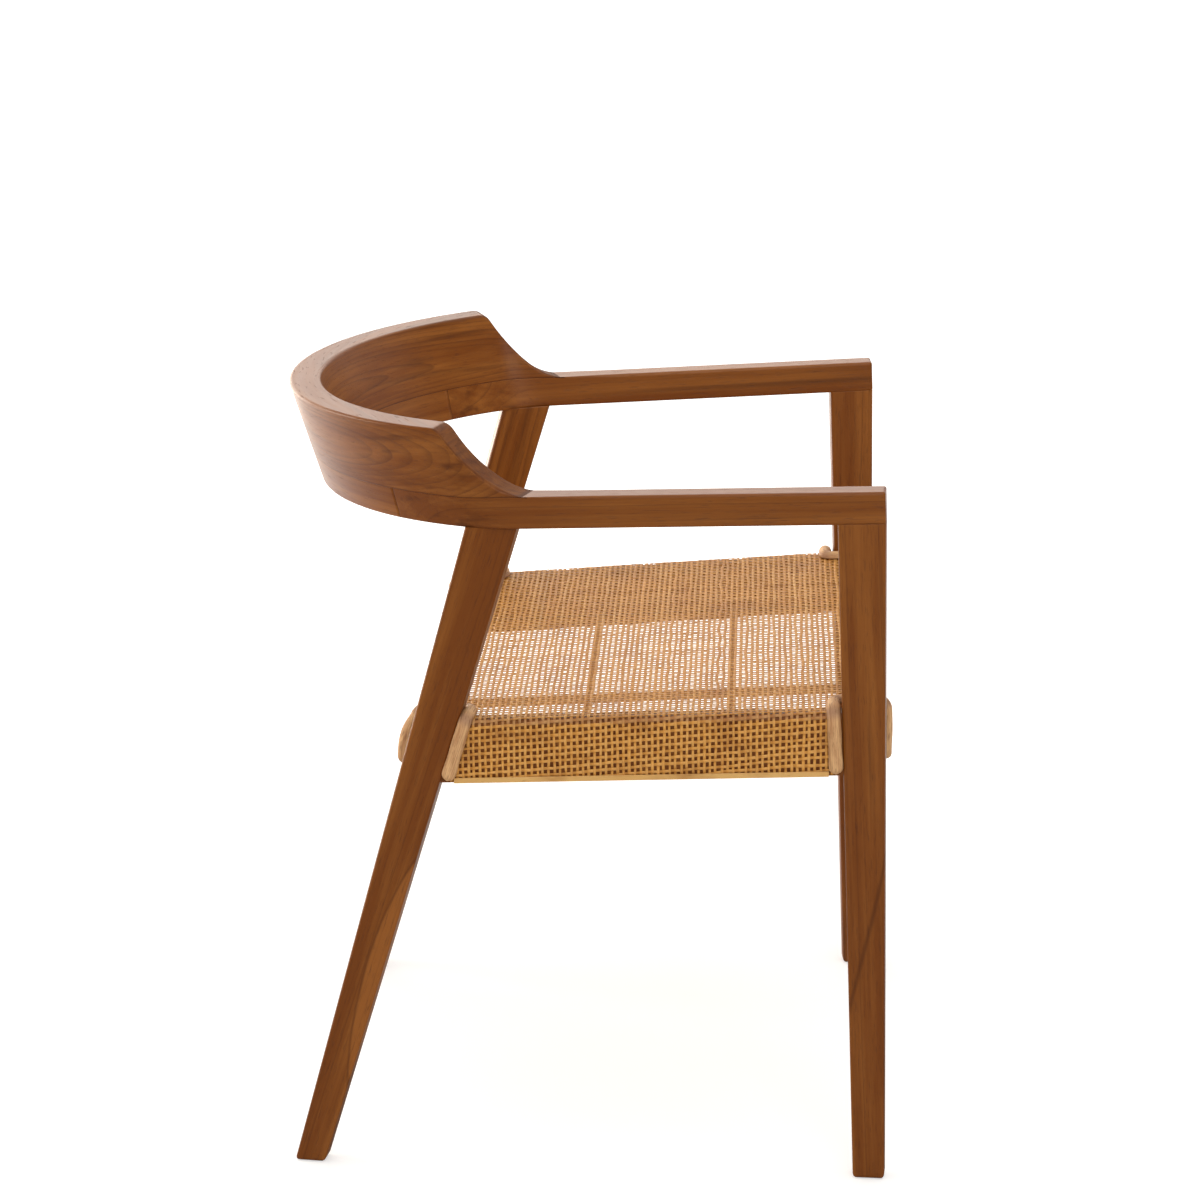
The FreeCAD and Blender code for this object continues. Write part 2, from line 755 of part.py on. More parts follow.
# Half-round trim: up the side, over the edge, round the leg and down the front or rear
def corner_frames(before, corner, after, radius, normals):
    # Middle points, headings, outward normals and rises through a rounded corner of the trim's line
    back, ahead = (before - corner).normalize(), (after - corner).normalize()
    half = back.getAngle(ahead) / 2
    center = corner + (back + ahead).normalize() * (radius / math.sin(half))
    spoke = (corner + back * (radius / math.tan(half)) - center) * (1 / radius)
    sweep = math.pi - 2 * half
    frames = []
    for step in range(TRIM_STEPS + 1):
        share = step / TRIM_STEPS
        turn = sweep * share
        point = center + (spoke * math.cos(turn) - back * math.sin(turn)) * radius
        heading = spoke * -math.sin(turn) - back * math.cos(turn)
        frames.append((point, heading, between(normals[0], normals[1], share), size("pole_rise")))
    return frames


def run_frames(bend_end, free_end, bow):
    # From a bend to a free end: bowed outwards in the middle and thinned at the end
    start, heading, normal, rise = bend_end
    frames = []
    for step in range(1, TRIM_STEPS):
        share = step / TRIM_STEPS
        swell = normal * (4 * share * (1 - share) * bow)
        frames.append((between(start, free_end, share) + swell, heading, normal, rise))
    return frames + [(free_end, heading, normal, size("pole_end_rise"))]


def trim_section(point, heading, normal, rise):
    sideways = heading.cross(normal).normalize()
    outward = sideways.cross(heading).normalize() * rise
    half = sideways * (size("pole_width") / 2)
    turns = [math.pi * facet / TRIM_FACETS for facet in range(TRIM_FACETS + 1)]
    return [point + half * math.cos(turn) + outward * math.sin(turn) for turn in turns]


def trim_shape(points, normals, bow):
    radius = size("weave_edge_radius") + size("fit_gap")
    bends = []
    for number, bend in enumerate((radius, size("pole_turn_radius"), radius)):
        bends += corner_frames(*points[number:number + 3], bend, normals[number:number + 2])
    rising = run_frames(bends[0], points[0], 0)[::-1]
    frames = rising + bends + run_frames(bends[-1], points[-1], bow)
    sections = [trim_section(*frame) for frame in frames]
    outlines = [sections[0], sections[-1]]
    for section, following in zip(sections, sections[1:]):
        for first, second, third, fourth in side_quads(section, following):
            outlines += [(first, second, third), (first, third, fourth)]
    return enclosed(outlines)


TRIM_BED = THICK + size("fit_gap")
SEAT_NORMAL = vec(0, math.sin(angle("seat_slope_angle")), math.cos(angle("seat_slope_angle")))


def trim_clearance():
    return size("pole_width") / 2 + size("fit_gap")


def top_plane_point(across, along):
    return vec(across, along, seat_top(along) + TRIM_BED)


def beside_leg(plan, depth_share, along):
    # Where the trim's middle line, beside the leg's inner face, crosses this place along the seat
    near = inner_corner(plan, depth_share, trim_clearance())
    return near.x - (along - near.y) * math.tan(plan.turn)


def front_trim_points():
    plan = front_leg_plan(seat_top(SEAT_FRONT))
    along = plan.corner.y + plan.depth + trim_clearance()
    front = SEAT_FRONT - TRIM_BED
    edge = top_plane_point(seat_side(along, -TRIM_BED), along)
    brow = top_plane_point(beside_leg(plan, 1, front), front)
    return [edge - SEAT_NORMAL * size("rail_height"), edge,
            top_plane_point(beside_leg(plan, 1, along), along), brow,
            vec(brow.x, front, seat_bottom(front) + size("pole_end_lift"))]


def rear_trim_points():
    top = seat_top(SEAT_FRONT + size("seat_depth"))
    plan = rear_leg_plan(top)
    low = rear_leg_plan(top - size("rail_height"))
    rake = (low.corner.y - plan.corner.y) / size("rail_height")
    along = inner_corner(plan, 0, trim_clearance() * math.hypot(1, rake)).y
    edge = top_plane_point(seat_side(along, -TRIM_BED), along)
    rear = seat_rear(TRIM_BED, -TRIM_BED)
    brow = top_plane_point(beside_leg(plan, 0, rear), rear)
    side_drop = size("rail_height")
    rear_drop = side_drop - size("pole_end_lift")
    return [edge + vec(0, side_drop * rake, -side_drop), edge,
            top_plane_point(beside_leg(plan, 0, along), along), brow,
            brow + vec(0, rear_drop * REAR_RAKE, -rear_drop)]


FACE_NORMALS = {
    "side": direction(TOE),
    "front": vec(0, -1),
    "rear": vec(0, math.cos(angle("seat_rear_rake_angle")), math.sin(angle("seat_rear_rake_angle"))),
}
TRIM_LINES = {
    "front": (front_trim_points(), 0),
    "rear": (rear_trim_points(), size("rear_pole_bow")),
}
trims = {}
for end, (points, bow) in TRIM_LINES.items():
    normals = [FACE_NORMALS["side"], SEAT_NORMAL, SEAT_NORMAL, FACE_NORMALS[end]]
    trims[end] = feature(f"corner_trim_{end}_left", trim_shape(points, normals, bow))
    trims[f"{end}_mirror"] = mirrored(f"corner_trim_{end}_right", trims[end])


# Flat cane strips along the lower edge of the mat
def strip(name, length, placement):
    return box(name, (length, "sizes.strip_thickness", "sizes.strip_height"), placement)


def side_strip():
    reach = 2 * trim_clearance()
    front = TRIM_LINES["front"][0][0].y - trim_clearance() + reach
    rear = TRIM_LINES["rear"][0][0].y + trim_clearance() - reach
    turn = FreeCAD.Rotation(UP, 90 + size("arm_toe_angle")).multiply(
        FreeCAD.Rotation(vec(0, 1), size("seat_slope_angle")))
    spot = vec(seat_side(front, -THICK - size("strip_thickness")), front, seat_bottom(front))
    return strip("edge_strip_left", (rear - front) / math.cos(TOE), FreeCAD.Placement(spot, turn))


def front_strip():
    reach = TRIM_LINES["front"][0][-1].x - trim_clearance()
    front = SEAT_FRONT - THICK
    return strip("edge_strip_front", 2 * reach,
                 place(vec(-reach, front - size("strip_thickness"), seat_bottom(front))))


def rear_strip():
    reach = TRIM_LINES["rear"][0][-1].x - trim_clearance()
    rear = seat_rear(-size("rail_height"), -THICK)
    spot = vec(-reach, rear, seat_top(rear) - size("rail_height"))
    return strip("edge_strip_rear", 2 * reach, place(spot, ACROSS, size("seat_rear_rake_angle")))


strip_left = side_strip()
strip_right = mirrored("edge_strip_right", strip_left)
strip_front = front_strip()
strip_rear = rear_strip()

NODES = [
    front_leg_left, front_leg_right, rear_leg_left, rear_leg_right,
    arm_left, arm_right, back_rail, back_crest, tongue_left, tongue_right,
    front_rail, rear_rail, side_rail_left, side_rail_right,
    front_cane, rear_cane, center_batten, batten_screws, seat_weave,
    trims["front"], trims["front_mirror"], trims["rear"], trims["rear_mirror"],
    strip_left, strip_right, strip_front, strip_rear,
]

doc.recompute()
failed = [item.Name for item in doc.Objects if "Invalid" in item.State or "Error" in item.State]
for node in NODES:
    if node.Shape.isNull() or not node.Shape.isValid() or not node.Shape.Solids:
        failed.append(node.Label)
if failed:
    raise RuntimeError(f"these objects failed: {failed}")
os.makedirs("parts", exist_ok=True)
for node in NODES:
    node.Shape.exportStep(f"parts/{node.Label}.step")
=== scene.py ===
import bpy
import numpy as np
from mathutils import Matrix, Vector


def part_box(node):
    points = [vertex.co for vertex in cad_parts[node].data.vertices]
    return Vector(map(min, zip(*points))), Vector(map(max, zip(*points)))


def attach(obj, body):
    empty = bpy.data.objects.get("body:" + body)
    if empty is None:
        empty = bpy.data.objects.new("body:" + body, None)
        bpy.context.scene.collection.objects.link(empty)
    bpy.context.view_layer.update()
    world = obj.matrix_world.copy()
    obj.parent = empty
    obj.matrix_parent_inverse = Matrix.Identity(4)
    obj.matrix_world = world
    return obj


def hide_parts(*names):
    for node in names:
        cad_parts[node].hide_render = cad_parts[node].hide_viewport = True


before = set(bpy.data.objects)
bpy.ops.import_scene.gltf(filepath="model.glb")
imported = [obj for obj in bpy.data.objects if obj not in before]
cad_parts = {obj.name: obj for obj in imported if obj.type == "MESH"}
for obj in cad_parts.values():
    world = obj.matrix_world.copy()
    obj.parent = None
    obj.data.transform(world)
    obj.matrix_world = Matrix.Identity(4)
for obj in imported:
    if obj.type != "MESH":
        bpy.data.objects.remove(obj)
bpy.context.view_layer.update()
print("frame loaded:", len(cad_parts), "nodes")

# All sizes are in metres, and angles in degrees but for the camera's. Front is -Y, the sitter's left is +X.
chair = {
    "armSpread": 0.285, "armFront": -0.278, "armUnder": 0.630, "armSlope": 2.09, "armToe": 4.07,
    "seatHeight": 0.454, "seatRear": 0.147, "seatSlope": 2.87, "seatRake": 15.05, "railHeight": 0.0585,
}
armFront, drop, toe = chair["armFront"], chair["railHeight"], np.radians(chair["armToe"])
seatFall = np.tan(np.radians(chair["seatSlope"]))
rearRake = np.tan(np.radians(chair["seatRake"]))


def unit(vectors):
    return vectors / np.linalg.norm(vectors, axis=-1, keepdims=True)


def bearing(turn):
    return np.array([np.cos(turn), np.sin(turn)])


def tangent(turn):
    return np.array([-np.sin(turn), np.cos(turn)])


def lerp(start, end, share):
    return start + np.subtract(end, start) * share


def columns(*values):
    return np.stack(np.broadcast_arrays(*values), -1)


def lengthAlong(path):
    return np.r_[0, np.cumsum(np.linalg.norm(np.diff(path, axis=0), axis=1))]


def seatTop(y):
    return chair["seatHeight"] - (y - armFront) * seatFall


def seatSide(y, outset):
    return chair["armSpread"] - (y - armFront) * np.tan(toe) + outset / np.cos(toe)


# Arm frame to world: turned about X by the arms' slope and lifted to the arms' underside
def fromArmFrame(points):
    slope = np.radians(chair["armSlope"])
    x, y, z = np.moveaxis(points, -1, 0)
    return columns(x, y * np.cos(slope) + z * np.sin(slope) + armFront,
                   z * np.cos(slope) - y * np.sin(slope) + chair["armUnder"])


# Straight runs joined by arcs: an arc of radius r leaves the run r / tan(half angle) before the corner.
# Gives the length so far, the points, and a turn count that grows by one through each arc.
def roundedLine(points, radii, arcSteps=13):
    points = np.asarray(points, float)
    path, turns = [points[:1]], [np.zeros(1)]
    for corner, radius in enumerate(radii, start=1):
        before, here, after = points[corner - 1:corner + 2]
        back, ahead = unit(before - here), unit(after - here)
        half = np.arccos(np.clip(back @ ahead, -1, 1)) / 2
        center = here + unit(back + ahead) * radius / np.sin(half)
        spoke = here + back * radius / np.tan(half) - center
        angle = np.linspace(0, np.pi - 2 * half, arcSteps)[:, None]
        path.append(center + spoke * np.cos(angle) - back * radius * np.sin(angle))
        turns.append(corner - 1 + np.linspace(0, 1, arcSteps))
    path, turns = np.concatenate(path + [points[-1:]]), np.concatenate(turns + [np.full(1, len(radii))])
    return lengthAlong(path), path, turns


def readAlong(length, values, at):
    return np.stack([np.interp(at, length, column) for column in np.asarray(values).T], -1)


# Eased section: every corner of a four-sided section becomes a quarter circle between two edge points,
# p = c + r (e1 (1 - sin t) + e2 (1 - cos t)), with one more point on each edge to keep the flats flat
def easedRings(corners, radius, inset=np.zeros(1), arcSteps=5, support=0.0006, least=0.00012):
    before, after = unit(np.roll(corners, 1, 1) - corners), unit(np.roll(corners, -1, 1) - corners)
    corners = corners + (before + after) * inset[:, None, None]
    radius = np.maximum(np.broadcast_to(radius, corners.shape[:2]) - inset[:, None], least)[..., None, None]
    t = np.linspace(0, np.pi / 2, arcSteps)[:, None]
    arc = radius * (before[:, :, None] * (1 - np.sin(t)) + after[:, :, None] * (1 - np.cos(t)))
    first, last = before[:, :, None] * (radius + support), after[:, :, None] * (radius + support)
    rings = corners[:, :, None] + np.concatenate([first, arc, last], 2)
    return rings.reshape(len(corners), -1, 3)


# Stations along a bar with eased ends: share of the length, and how far the section draws in there along a
# quarter circle. With square, the far end is cut off flat.
def easedStations(count, length, easing, square=False, arcSteps=4, support=0.0008):
    shares, t = np.linspace(0, 1, count), np.linspace(0, np.pi / 2, arcSteps)
    start, drawn = easing * (1 - np.sin(t)), easing * (1 - np.cos(t))
    firsts = np.r_[0.0, start[::-1], easing + support] / length
    insets = np.r_[easing + support, drawn[::-1], 0.0]
    middle = shares[(shares > firsts[-1]) & (shares < 1 - firsts[-1])]
    shares = np.r_[firsts, middle, 1 - firsts[::-1]]
    insets = np.r_[insets, 0 * middle, 0 * insets if square else insets[::-1]]
    return (shares[:-1], insets[:-1]) if square else (shares, insets)


def addObject(name, contents):
    made = bpy.data.objects.new(name, contents)
    bpy.context.scene.collection.objects.link(made)
    return made


# One mesh from closed rings [strand, station, point]: quads between neighbours and a face on each end
def addPiece(name, groups, attributes, material, node):
    vertices, quads, caps, count = [], [], [], 0
    for rings in groups:
        strands, stations, points = rings.shape[:3]
        i, k = np.ogrid[:stations - 1, :points]
        near, beside = i * points + k, i * points + (k + 1) % points
        faces = np.stack([near, beside, beside + points, near + points], -1).reshape(-1, 4)
        ends = np.stack([k[0, ::-1], k[0] + (stations - 1) * points])
        middle = rings[:, stations // 2]
        spin = np.cross(middle, np.roll(middle, -1, 1)).sum(1)
        ahead = (rings[:, stations // 2 + 1] - middle).mean(1)
        if (spin * ahead).sum() < 0:
            faces, ends = faces[:, ::-1], ends[:, ::-1]
        offsets = count + np.arange(strands)[:, None, None] * stations * points
        quads.append((faces + offsets).reshape(-1, 4))
        caps.append((ends + offsets).reshape(-1, points))
        vertices.append(rings.reshape(-1, 3))
        count += strands * stations * points
    faceLists = [face for block in quads + caps for face in block.tolist()]
    mesh = bpy.data.meshes.new(name)
    mesh.from_pydata(np.concatenate(vertices).tolist(), [], faceLists)
    for key, values in attributes.items():
        layer = mesh.attributes.new(key, "FLOAT_VECTOR", "POINT")
        layer.data.foreach_set("vector", np.asarray(values, np.float32).ravel())
    mesh.polygons.foreach_set("use_smooth", np.ones(len(mesh.polygons), bool))
    mesh.update()
    mesh.materials.append(material)
    piece = addObject(name, mesh)
    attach(piece, "root")
    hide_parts(node)


# A socket of a node tree: arithmetic on it adds Math nodes, and node() adds any other node
class Field:
    def __init__(self, tree, socket=None):
        self.tree, self.socket = tree, socket

    def node(self, kind, settings=None, inputs=None, output=0):
        made = self.tree.nodes.new(kind)
        for key, setting in (settings or {}).items():
            setattr(made, key, setting)
        for key, given in (inputs or {}).items():
            if isinstance(given, Field):
                self.tree.links.new(given.socket, made.inputs[key])
            else:
                made.inputs[key].default_value = given
        return Field(self.tree, made.outputs[output])

    def math(self, operation, *others, clamp=False):
        return self.node("ShaderNodeMath", {"operation": operation, "use_clamp": clamp}, dict(enumerate(others)))

    def __add__(self, other):
        return self.math("ADD", self, other)

    def __sub__(self, other):
        return self.math("SUBTRACT", self, other)

    def __rsub__(self, other):
        return self.math("SUBTRACT", other, self)

    def __mul__(self, other):
        return self.math("MULTIPLY", self, other)

    def __truediv__(self, other):
        return self.math("DIVIDE", self, other)

    def __pow__(self, other):
        return self.math("POWER", self, other)

    __radd__, __rmul__ = __add__, __mul__

    def __abs__(self):
        return self.math("ABSOLUTE", self)

    def held(self):
        return self.math("ADD", self, 0.0, clamp=True)

    def step(self, low, high):
        return self.node("ShaderNodeMapRange", {"interpolation_type": "SMOOTHSTEP"},
                         {"Value": self, "From Min": low, "From Max": high})

    def vector(self, operation, other):
        return self.node("ShaderNodeVectorMath", {"operation": operation}, {0: self, 1: other})

    def noise(self, scale, detail=2.0, roughness=0.5):
        return self.node("ShaderNodeTexNoise", None, {
            "Vector": self.vector("MULTIPLY", scale), "Scale": 1.0, "Detail": detail, "Roughness": roughness})

    def parts(self):
        made = self.node("ShaderNodeSeparateXYZ", None, {0: self}).socket.node
        return [Field(self.tree, made.outputs[axis]) for axis in range(3)]

    def blend(self, first, second):
        return self.node("ShaderNodeMix", {"data_type": "RGBA"}, {0: self, 6: first, 7: second}, output=2)

    def wave(self):
        return self.node("ShaderNodeTexNoise", {"noise_dimensions": "1D"}, {"W": self, "Scale": 1.0, "Detail": 1.0})

    def random(self):
        return self.node("ShaderNodeTexWhiteNoise", {"noise_dimensions": "1D"}, {"W": self})

    def attribute(self, name):
        return self.node("ShaderNodeAttribute", {"attribute_name": name}, output="Vector")

    def coordinates(self, kind="Object"):
        return self.node("ShaderNodeTexCoord", output=kind)

    def mixShader(self, first, second):
        return self.node("ShaderNodeMixShader", None, {0: self, 1: first, 2: second})


def newMaterial(name, specular=0.5, metallic=0.0):
    material = bpy.data.materials.new(name)
    material.use_nodes = True
    tree = material.node_tree
    shader = next(node for node in tree.nodes if node.type == "BSDF_PRINCIPLED")
    shader.inputs["Specular IOR Level"].default_value = specular
    shader.inputs["Metallic"].default_value = metallic
    return material, Field(tree), shader


def feed(field, shader, color, roughness, height, distance):
    bump = field.node("ShaderNodeBump", None, {"Height": height, "Distance": distance, "Strength": 1.0})
    for key, value in (("Base Color", color), ("Roughness", roughness), ("Normal", bump)):
        field.tree.links.new(value.socket, shader.inputs[key])


teakLook = {
    "pale": (0.272, 0.092, 0.014, 1), "body": (0.168, 0.045, 0.004, 1), "deep": (0.072, 0.019, 0.003, 1),
    "line": (0.040, 0.012, 0.004, 1), "sap": (0.285, 0.094, 0.015, 1),
    "roughness": 0.38, "specular": 0.24, "bump": 0.00010, "middle": 0.32, "streaks": 0.8, "fibres": 0.45,
    "clouds": 1.7, "ribbons": 1.9, "bands": 0.9, "gloom": 0.58, "face": 0.012, "sapSlant": 0.6, "sapShare": 0.85,
    "sapRim": 0.45, "veinSlant": 1.2, "veinShare": 0.55, "endShare": 0.6, "glueShare": 0.8, "cutShare": 0.28,
    "cutRough": 0.3,
}


# Solid wood: growth rings about a pith line along the plank, warped by slow noise, with fibres and pores drawn
# out along it. The plank attribute holds (along, across, depth) in metres.
# sap is a pale lens on the low side of depth (middle, half length, height, foot of its parabola) and vein a dark
# line (depth at the start, slope), both slanting inwards from the outer face. glue is the place across of a glued
# edge, ends half the length of a piece glued at both ends, and cut an attribute that is 1 where fibres are cut.
def teak(name, pith=(0.05, -0.06), pitch=0.0034, tone=0.0, shift=0.0, warp=0.010, rare=6.0, sap=None, vein=None,
         glue=None, ends=None, cut=None, paintedShade=0.0, source="plank"):
    look, deep = teakLook, teakLook["deep"]
    material, field, shader = newMaterial(name, look["specular"])
    plank = field.attribute(source) if source == "plank" else field.coordinates(source)
    along, across, depth = plank.parts()
    plank = plank.vector("ADD", (shift, 0.0, 0.0))
    slow = plank.noise((2.4, 14.0, 14.0)) - 0.5
    swirl = plank.noise((7.0, 40.0, 40.0)) - 0.5
    radius = ((across - pith[0]) ** 2.0 + (depth - pith[1]) ** 2.0) ** 0.5
    rings = (radius + slow * warp + swirl * (warp * 0.25)) / pitch
    ring, whole = rings.math("FRACT", rings), rings.math("FLOOR", rings)
    weight = whole.random() ** rare
    late = ring ** 3.0 * (1 - ring.step(0.92, 1.0)) * (0.06 + weight * 0.75)
    band = (rings * 0.21 + shift).wave()
    fibre = plank.noise((16.0, 820.0, 820.0), 3.0, 0.6)
    streak = plank.noise((4.0, 210.0, 210.0))
    pores = plank.noise((60.0, 1300.0, 1300.0), 1.0).step(0.60, 0.72)
    cloud = plank.noise((3.5, 26.0, 26.0))
    ribbon = plank.vector("ADD", (1.3, 0.7, 0.2)).noise((1.6, 75.0, 75.0))
    gloom = plank.vector("ADD", (2.9, 0.1, 0.5)).noise((1.3, 105.0, 105.0)).step(0.56, 0.76)
    warmth = ((streak - 0.5) * look["streaks"] + (fibre - 0.5) * look["fibres"] + (cloud - 0.5) * look["clouds"]
              + (ribbon - 0.5) * look["ribbons"] + (band - 0.5) * look["bands"] + (look["middle"] + tone)).held()
    color = warmth.blend(look["body"], look["pale"])
    color = (gloom * look["gloom"]).blend(color, deep)
    inwards = look["face"] - across
    if sap:
        rise = 1 - ((along - sap[0]) / sap[1]) ** 2.0
        inside = rise * sap[2] + sap[3] - depth - inwards * look["sapSlant"] + swirl * 0.006 + slow * 0.006
        color = (inside.step(-0.0006, 0.0008) * look["sapShare"]).blend(color, look["sap"])
        color = ((1 - abs(inside).step(0.0, 0.0022)) * look["sapRim"]).blend(color, deep)
    if vein:
        aside = depth - (along * vein[1] + vein[0]) - inwards * look["veinSlant"] + slow * 0.012
        color = ((1 - abs(aside).step(0.0, 0.0034)) * look["veinShare"]).blend(color, deep)
    if ends:
        dark = abs(along).step(ends - 0.0012, ends - 0.0004)
        color = (dark * look["endShare"]).blend(color, deep)
    if glue is not None:
        dark = 1 - (across - glue).step(0.0003, 0.0014)
        color = (dark * look["glueShare"]).blend(color, deep)
    rough = look["roughness"] + (fibre - 0.5) * 0.14 + pores * 0.1
    if cut:
        fibres = field.attribute(cut).parts()[0]
        color = (fibres * (look["cutShare"] + (streak - 0.4).held() * 1.6)).held().blend(color, deep)
        rough = rough + fibres * look["cutRough"]
    color = (late * 0.85).held().blend(color, deep)
    # Pores darken towards the line colour; the extra share given to teak darkens the whole piece, painted shade
    # used on the rails so that the mat's holes above them look shaded
    color = (pores * 0.30 + paintedShade).held().blend(color, look["line"])
    height = fibre * 0.5 - pores * 0.7 + late * 0.1
    feed(field, shader, color, rough, height, look["bump"])
    return material


# side is a colour painted for the light on the mat's sides and mauve the painted shade on its lip; straw and tan
# also serve as the painted highlight and shade where the strips cross
caneLook = {
    "gold": (0.590, 0.280, 0.066, 1), "honey": (0.410, 0.165, 0.032, 1), "straw": (0.640, 0.375, 0.140, 1),
    "brown": (0.150, 0.052, 0.014, 1), "mauve": (0.330, 0.170, 0.100, 1), "tan": (0.300, 0.112, 0.026, 1),
    "side": (0.850, 0.415, 0.090, 1), "edge": (0.760, 0.500, 0.190, 1),
    "roughness": 0.45, "specular": 0.12, "bump": 0.00015, "sideLitShare": 0.42, "lipShare": 0.5, "overHighlightShare": 0.34,
    "underShadeShare": 0.46, "mottleShare": 0.45,
}


# Split cane: a colour for each strand, streaks along it, and a few brown blemishes. Over these goes painted light:
# the strands on the mat's sides get a colour of their own for the light there, the lip where the mat turns down
# gets painted shade in mauve, and each strand is painted lighter where it crosses over the other strips and darker
# where it runs under them.
# The strip attribute holds (along, across, strand number), and fold (0 on top to 1 on the sides, -1 under the
# other strips to 1 over them, nothing).
def splitCane(name, sideLitColor):
    look = caneLook
    material, field, shader = newMaterial(name, look["specular"])
    strip = field.attribute("strip")
    strand = strip.parts()[2]
    own = strand.random()
    other = (strand + 0.37).random()
    streak = strip.noise((30.0, 2.4, 7.0), 3.0, 0.6)
    patch = strip.noise((9.0, 0.2, 3.0))
    color = (own * 0.9 + (streak - 0.5) * 1.1).held().blend(look["honey"], look["gold"])
    color = ((other - 0.55) * 1.2 + (patch - 0.5) * 1.4).held().blend(color, look["straw"])
    blemish = strip.noise((120.0, 0.6, 5.0)).step(0.66, 0.74) * 0.55 + (other - 0.95).step(0.0, 0.02) * 0.3
    color = blemish.held().blend(color, look["brown"])
    mottle = field.coordinates().noise((26.0, 26.0, 44.0), 3.0, 0.6).step(0.46, 0.74)
    fold, over = field.attribute("fold").parts()[:2]
    # Painted light: the strands on the mat's sides take the side colour, set for the light that falls there
    side = fold.step(0.5, 0.95)
    # Painted shade: mauve on the lip where the mat turns over the edge
    lipShade = fold.step(0.01, 0.2) * (1 - side)
    color = (side * look["sideLitShare"]).blend(color, sideLitColor)
    color = (lipShade * look["lipShare"]).blend(color, look["mauve"])
    # Painted highlight and shade: lighter where a strand crosses over the other strips, darker where it runs under
    # them
    color = (over * look["overHighlightShare"]).held().blend(color, look["straw"])
    color = (over * -look["underShadeShare"]).held().blend(color, look["tan"])
    color = (mottle * look["mottleShare"] + (own - 0.80).step(0.0, 0.2) * 0.25).held().blend(color, look["tan"])
    rough = look["roughness"] + (streak - 0.5) * 0.25
    feed(field, shader, color, rough, streak, look["bump"])
    return material


poleLook = {
    "pale": (0.680, 0.415, 0.200, 1), "rose": (0.430, 0.215, 0.096, 1), "brown": (0.160, 0.068, 0.030, 1),
    "mauve": (0.340, 0.190, 0.130, 1), "roughness": 0.55, "specular": 0.2, "bump": 0.0005, "fibres": 3.4,
    "streaks": 2.0, "middle": 0.52, "bendShadeAndKnotShare": 0.55, "creaseShadeAndKnotShare": 0.55, "fleckShare": 0.50,
}


# Peeled cane pole: fine fibres along it, pinkish patches, and painted shade where it bends: mauve over each bend
# and brown creases in it. The pole attribute holds (along, around, bend share); on the cross canes that share marks
# the knots instead, which the same colours darken.
def peeledPole(name):
    look = poleLook
    material, field, shader = newMaterial(name, look["specular"])
    pole = field.attribute("pole")
    bend = pole.parts()[2]
    fibre = pole.noise((34.0, 6.0, 0.0), 3.0, 0.7)
    streak = pole.noise((16.0, 2.6, 0.0))
    warmth = (fibre - 0.5) * look["fibres"] + (streak - 0.5) * look["streaks"] + look["middle"]
    color = warmth.held().blend(look["rose"], look["pale"])
    # Painted shade on the bends; on the cross canes, the knots' own darker colour
    color = (bend * look["bendShadeAndKnotShare"]).blend(color, look["mauve"])
    crease = pole.noise((420.0, 1.5, 0.0)) * bend
    fleck = pole.noise((90.0, 5.0, 0.0), 2.0, 0.6).step(0.52, 0.68)
    color = (crease * look["creaseShadeAndKnotShare"] + fleck * look["fleckShare"]).held().blend(color, look["brown"])
    rough = look["roughness"] + (fibre - 0.5) * 0.2
    height = fibre * 0.7 + streak * 0.5 - crease * 0.8
    feed(field, shader, color, rough, height, look["bump"])
    return material


steelLook = {"dark": (0.45, 0.45, 0.44, 1), "light": (0.62, 0.61, 0.58, 1), "roughness": 0.25, "bump": 0.00005}


# Zinc-plated screw steel: brushed in small patches of grey
def screwSteel(name):
    material, field, shader = newMaterial(name, metallic=1.0)
    grain = field.coordinates().noise((900.0, 900.0, 300.0), 3.0)
    color = grain.blend(steelLook["dark"], steelLook["light"])
    rough = grain * 0.25 + steelLook["roughness"]
    feed(field, shader, color, rough, grain, steelLook["bump"])
    return material


legs = {
    "front": {"foot": (0.2925, -0.2844), "top": (0.285, -0.278), "topHeight": 0.630, "turn": 4.07,
              "footSection": (0.0223, 0.0294), "topSection": (0.026, 0.0435)},
    "rear": {"foot": (0.26775, 0.2431), "top": (0.25795, 0.0544), "topHeight": 0.61787, "turn": 8.0,
             "footSection": (0.022, 0.0287), "topSection": (0.026, 0.048)},
    "easing": 0.0032, "footEasing": 0.0040, "intoArm": 0.0006, "stations": 40,
}


# A leg's section at a height: its outer front corner in plan, its turn, width and depth
def legPlan(leg, z):
    share = z / leg["topHeight"]
    corner = lerp(leg["foot"], leg["top"], share)
    width, depth = lerp(leg["footSection"], leg["topSection"], share)
    return corner, np.radians(leg["turn"]), width, depth


# Where a leg's four long edges stand at a height: outer front, inner front, inner rear, outer rear
def legEdges(leg, z):
    outer, turn, width, depth = legPlan(leg, z)
    wide, deep = width * bearing(turn), depth * tangent(turn)
    return columns(*np.stack([outer, outer - wide, outer - wide + deep, outer + deep], 1), z)


# Each edge runs from the floor to the plane under the arm, drawn in at the foot by its easing
def legRings(leg):
    fall = np.tan(np.radians(chair["armSlope"]))
    foot, top = legEdges(leg, 0.0), legEdges(leg, leg["topHeight"])
    rise = top - foot
    level = chair["armUnder"] + legs["intoArm"] - (foot[:, 1] - armFront) * fall
    reach = level / (rise[:, 2] + rise[:, 1] * fall)
    length = np.linalg.norm(rise[0])
    shares, inset = easedStations(legs["stations"], length, legs["footEasing"], square=True)
    corners = foot + rise * (reach * shares[:, None])[..., None]
    rings = easedRings(corners, legs["easing"], inset)
    axis = unit(rise.mean(0))
    side = np.r_[bearing(np.radians(leg["turn"])), 0]
    side = unit(side - axis * (side @ axis))
    plank = (rings - foot.mean(0)) @ np.stack([axis, side, np.cross(axis, side)], 1)
    return rings, plank


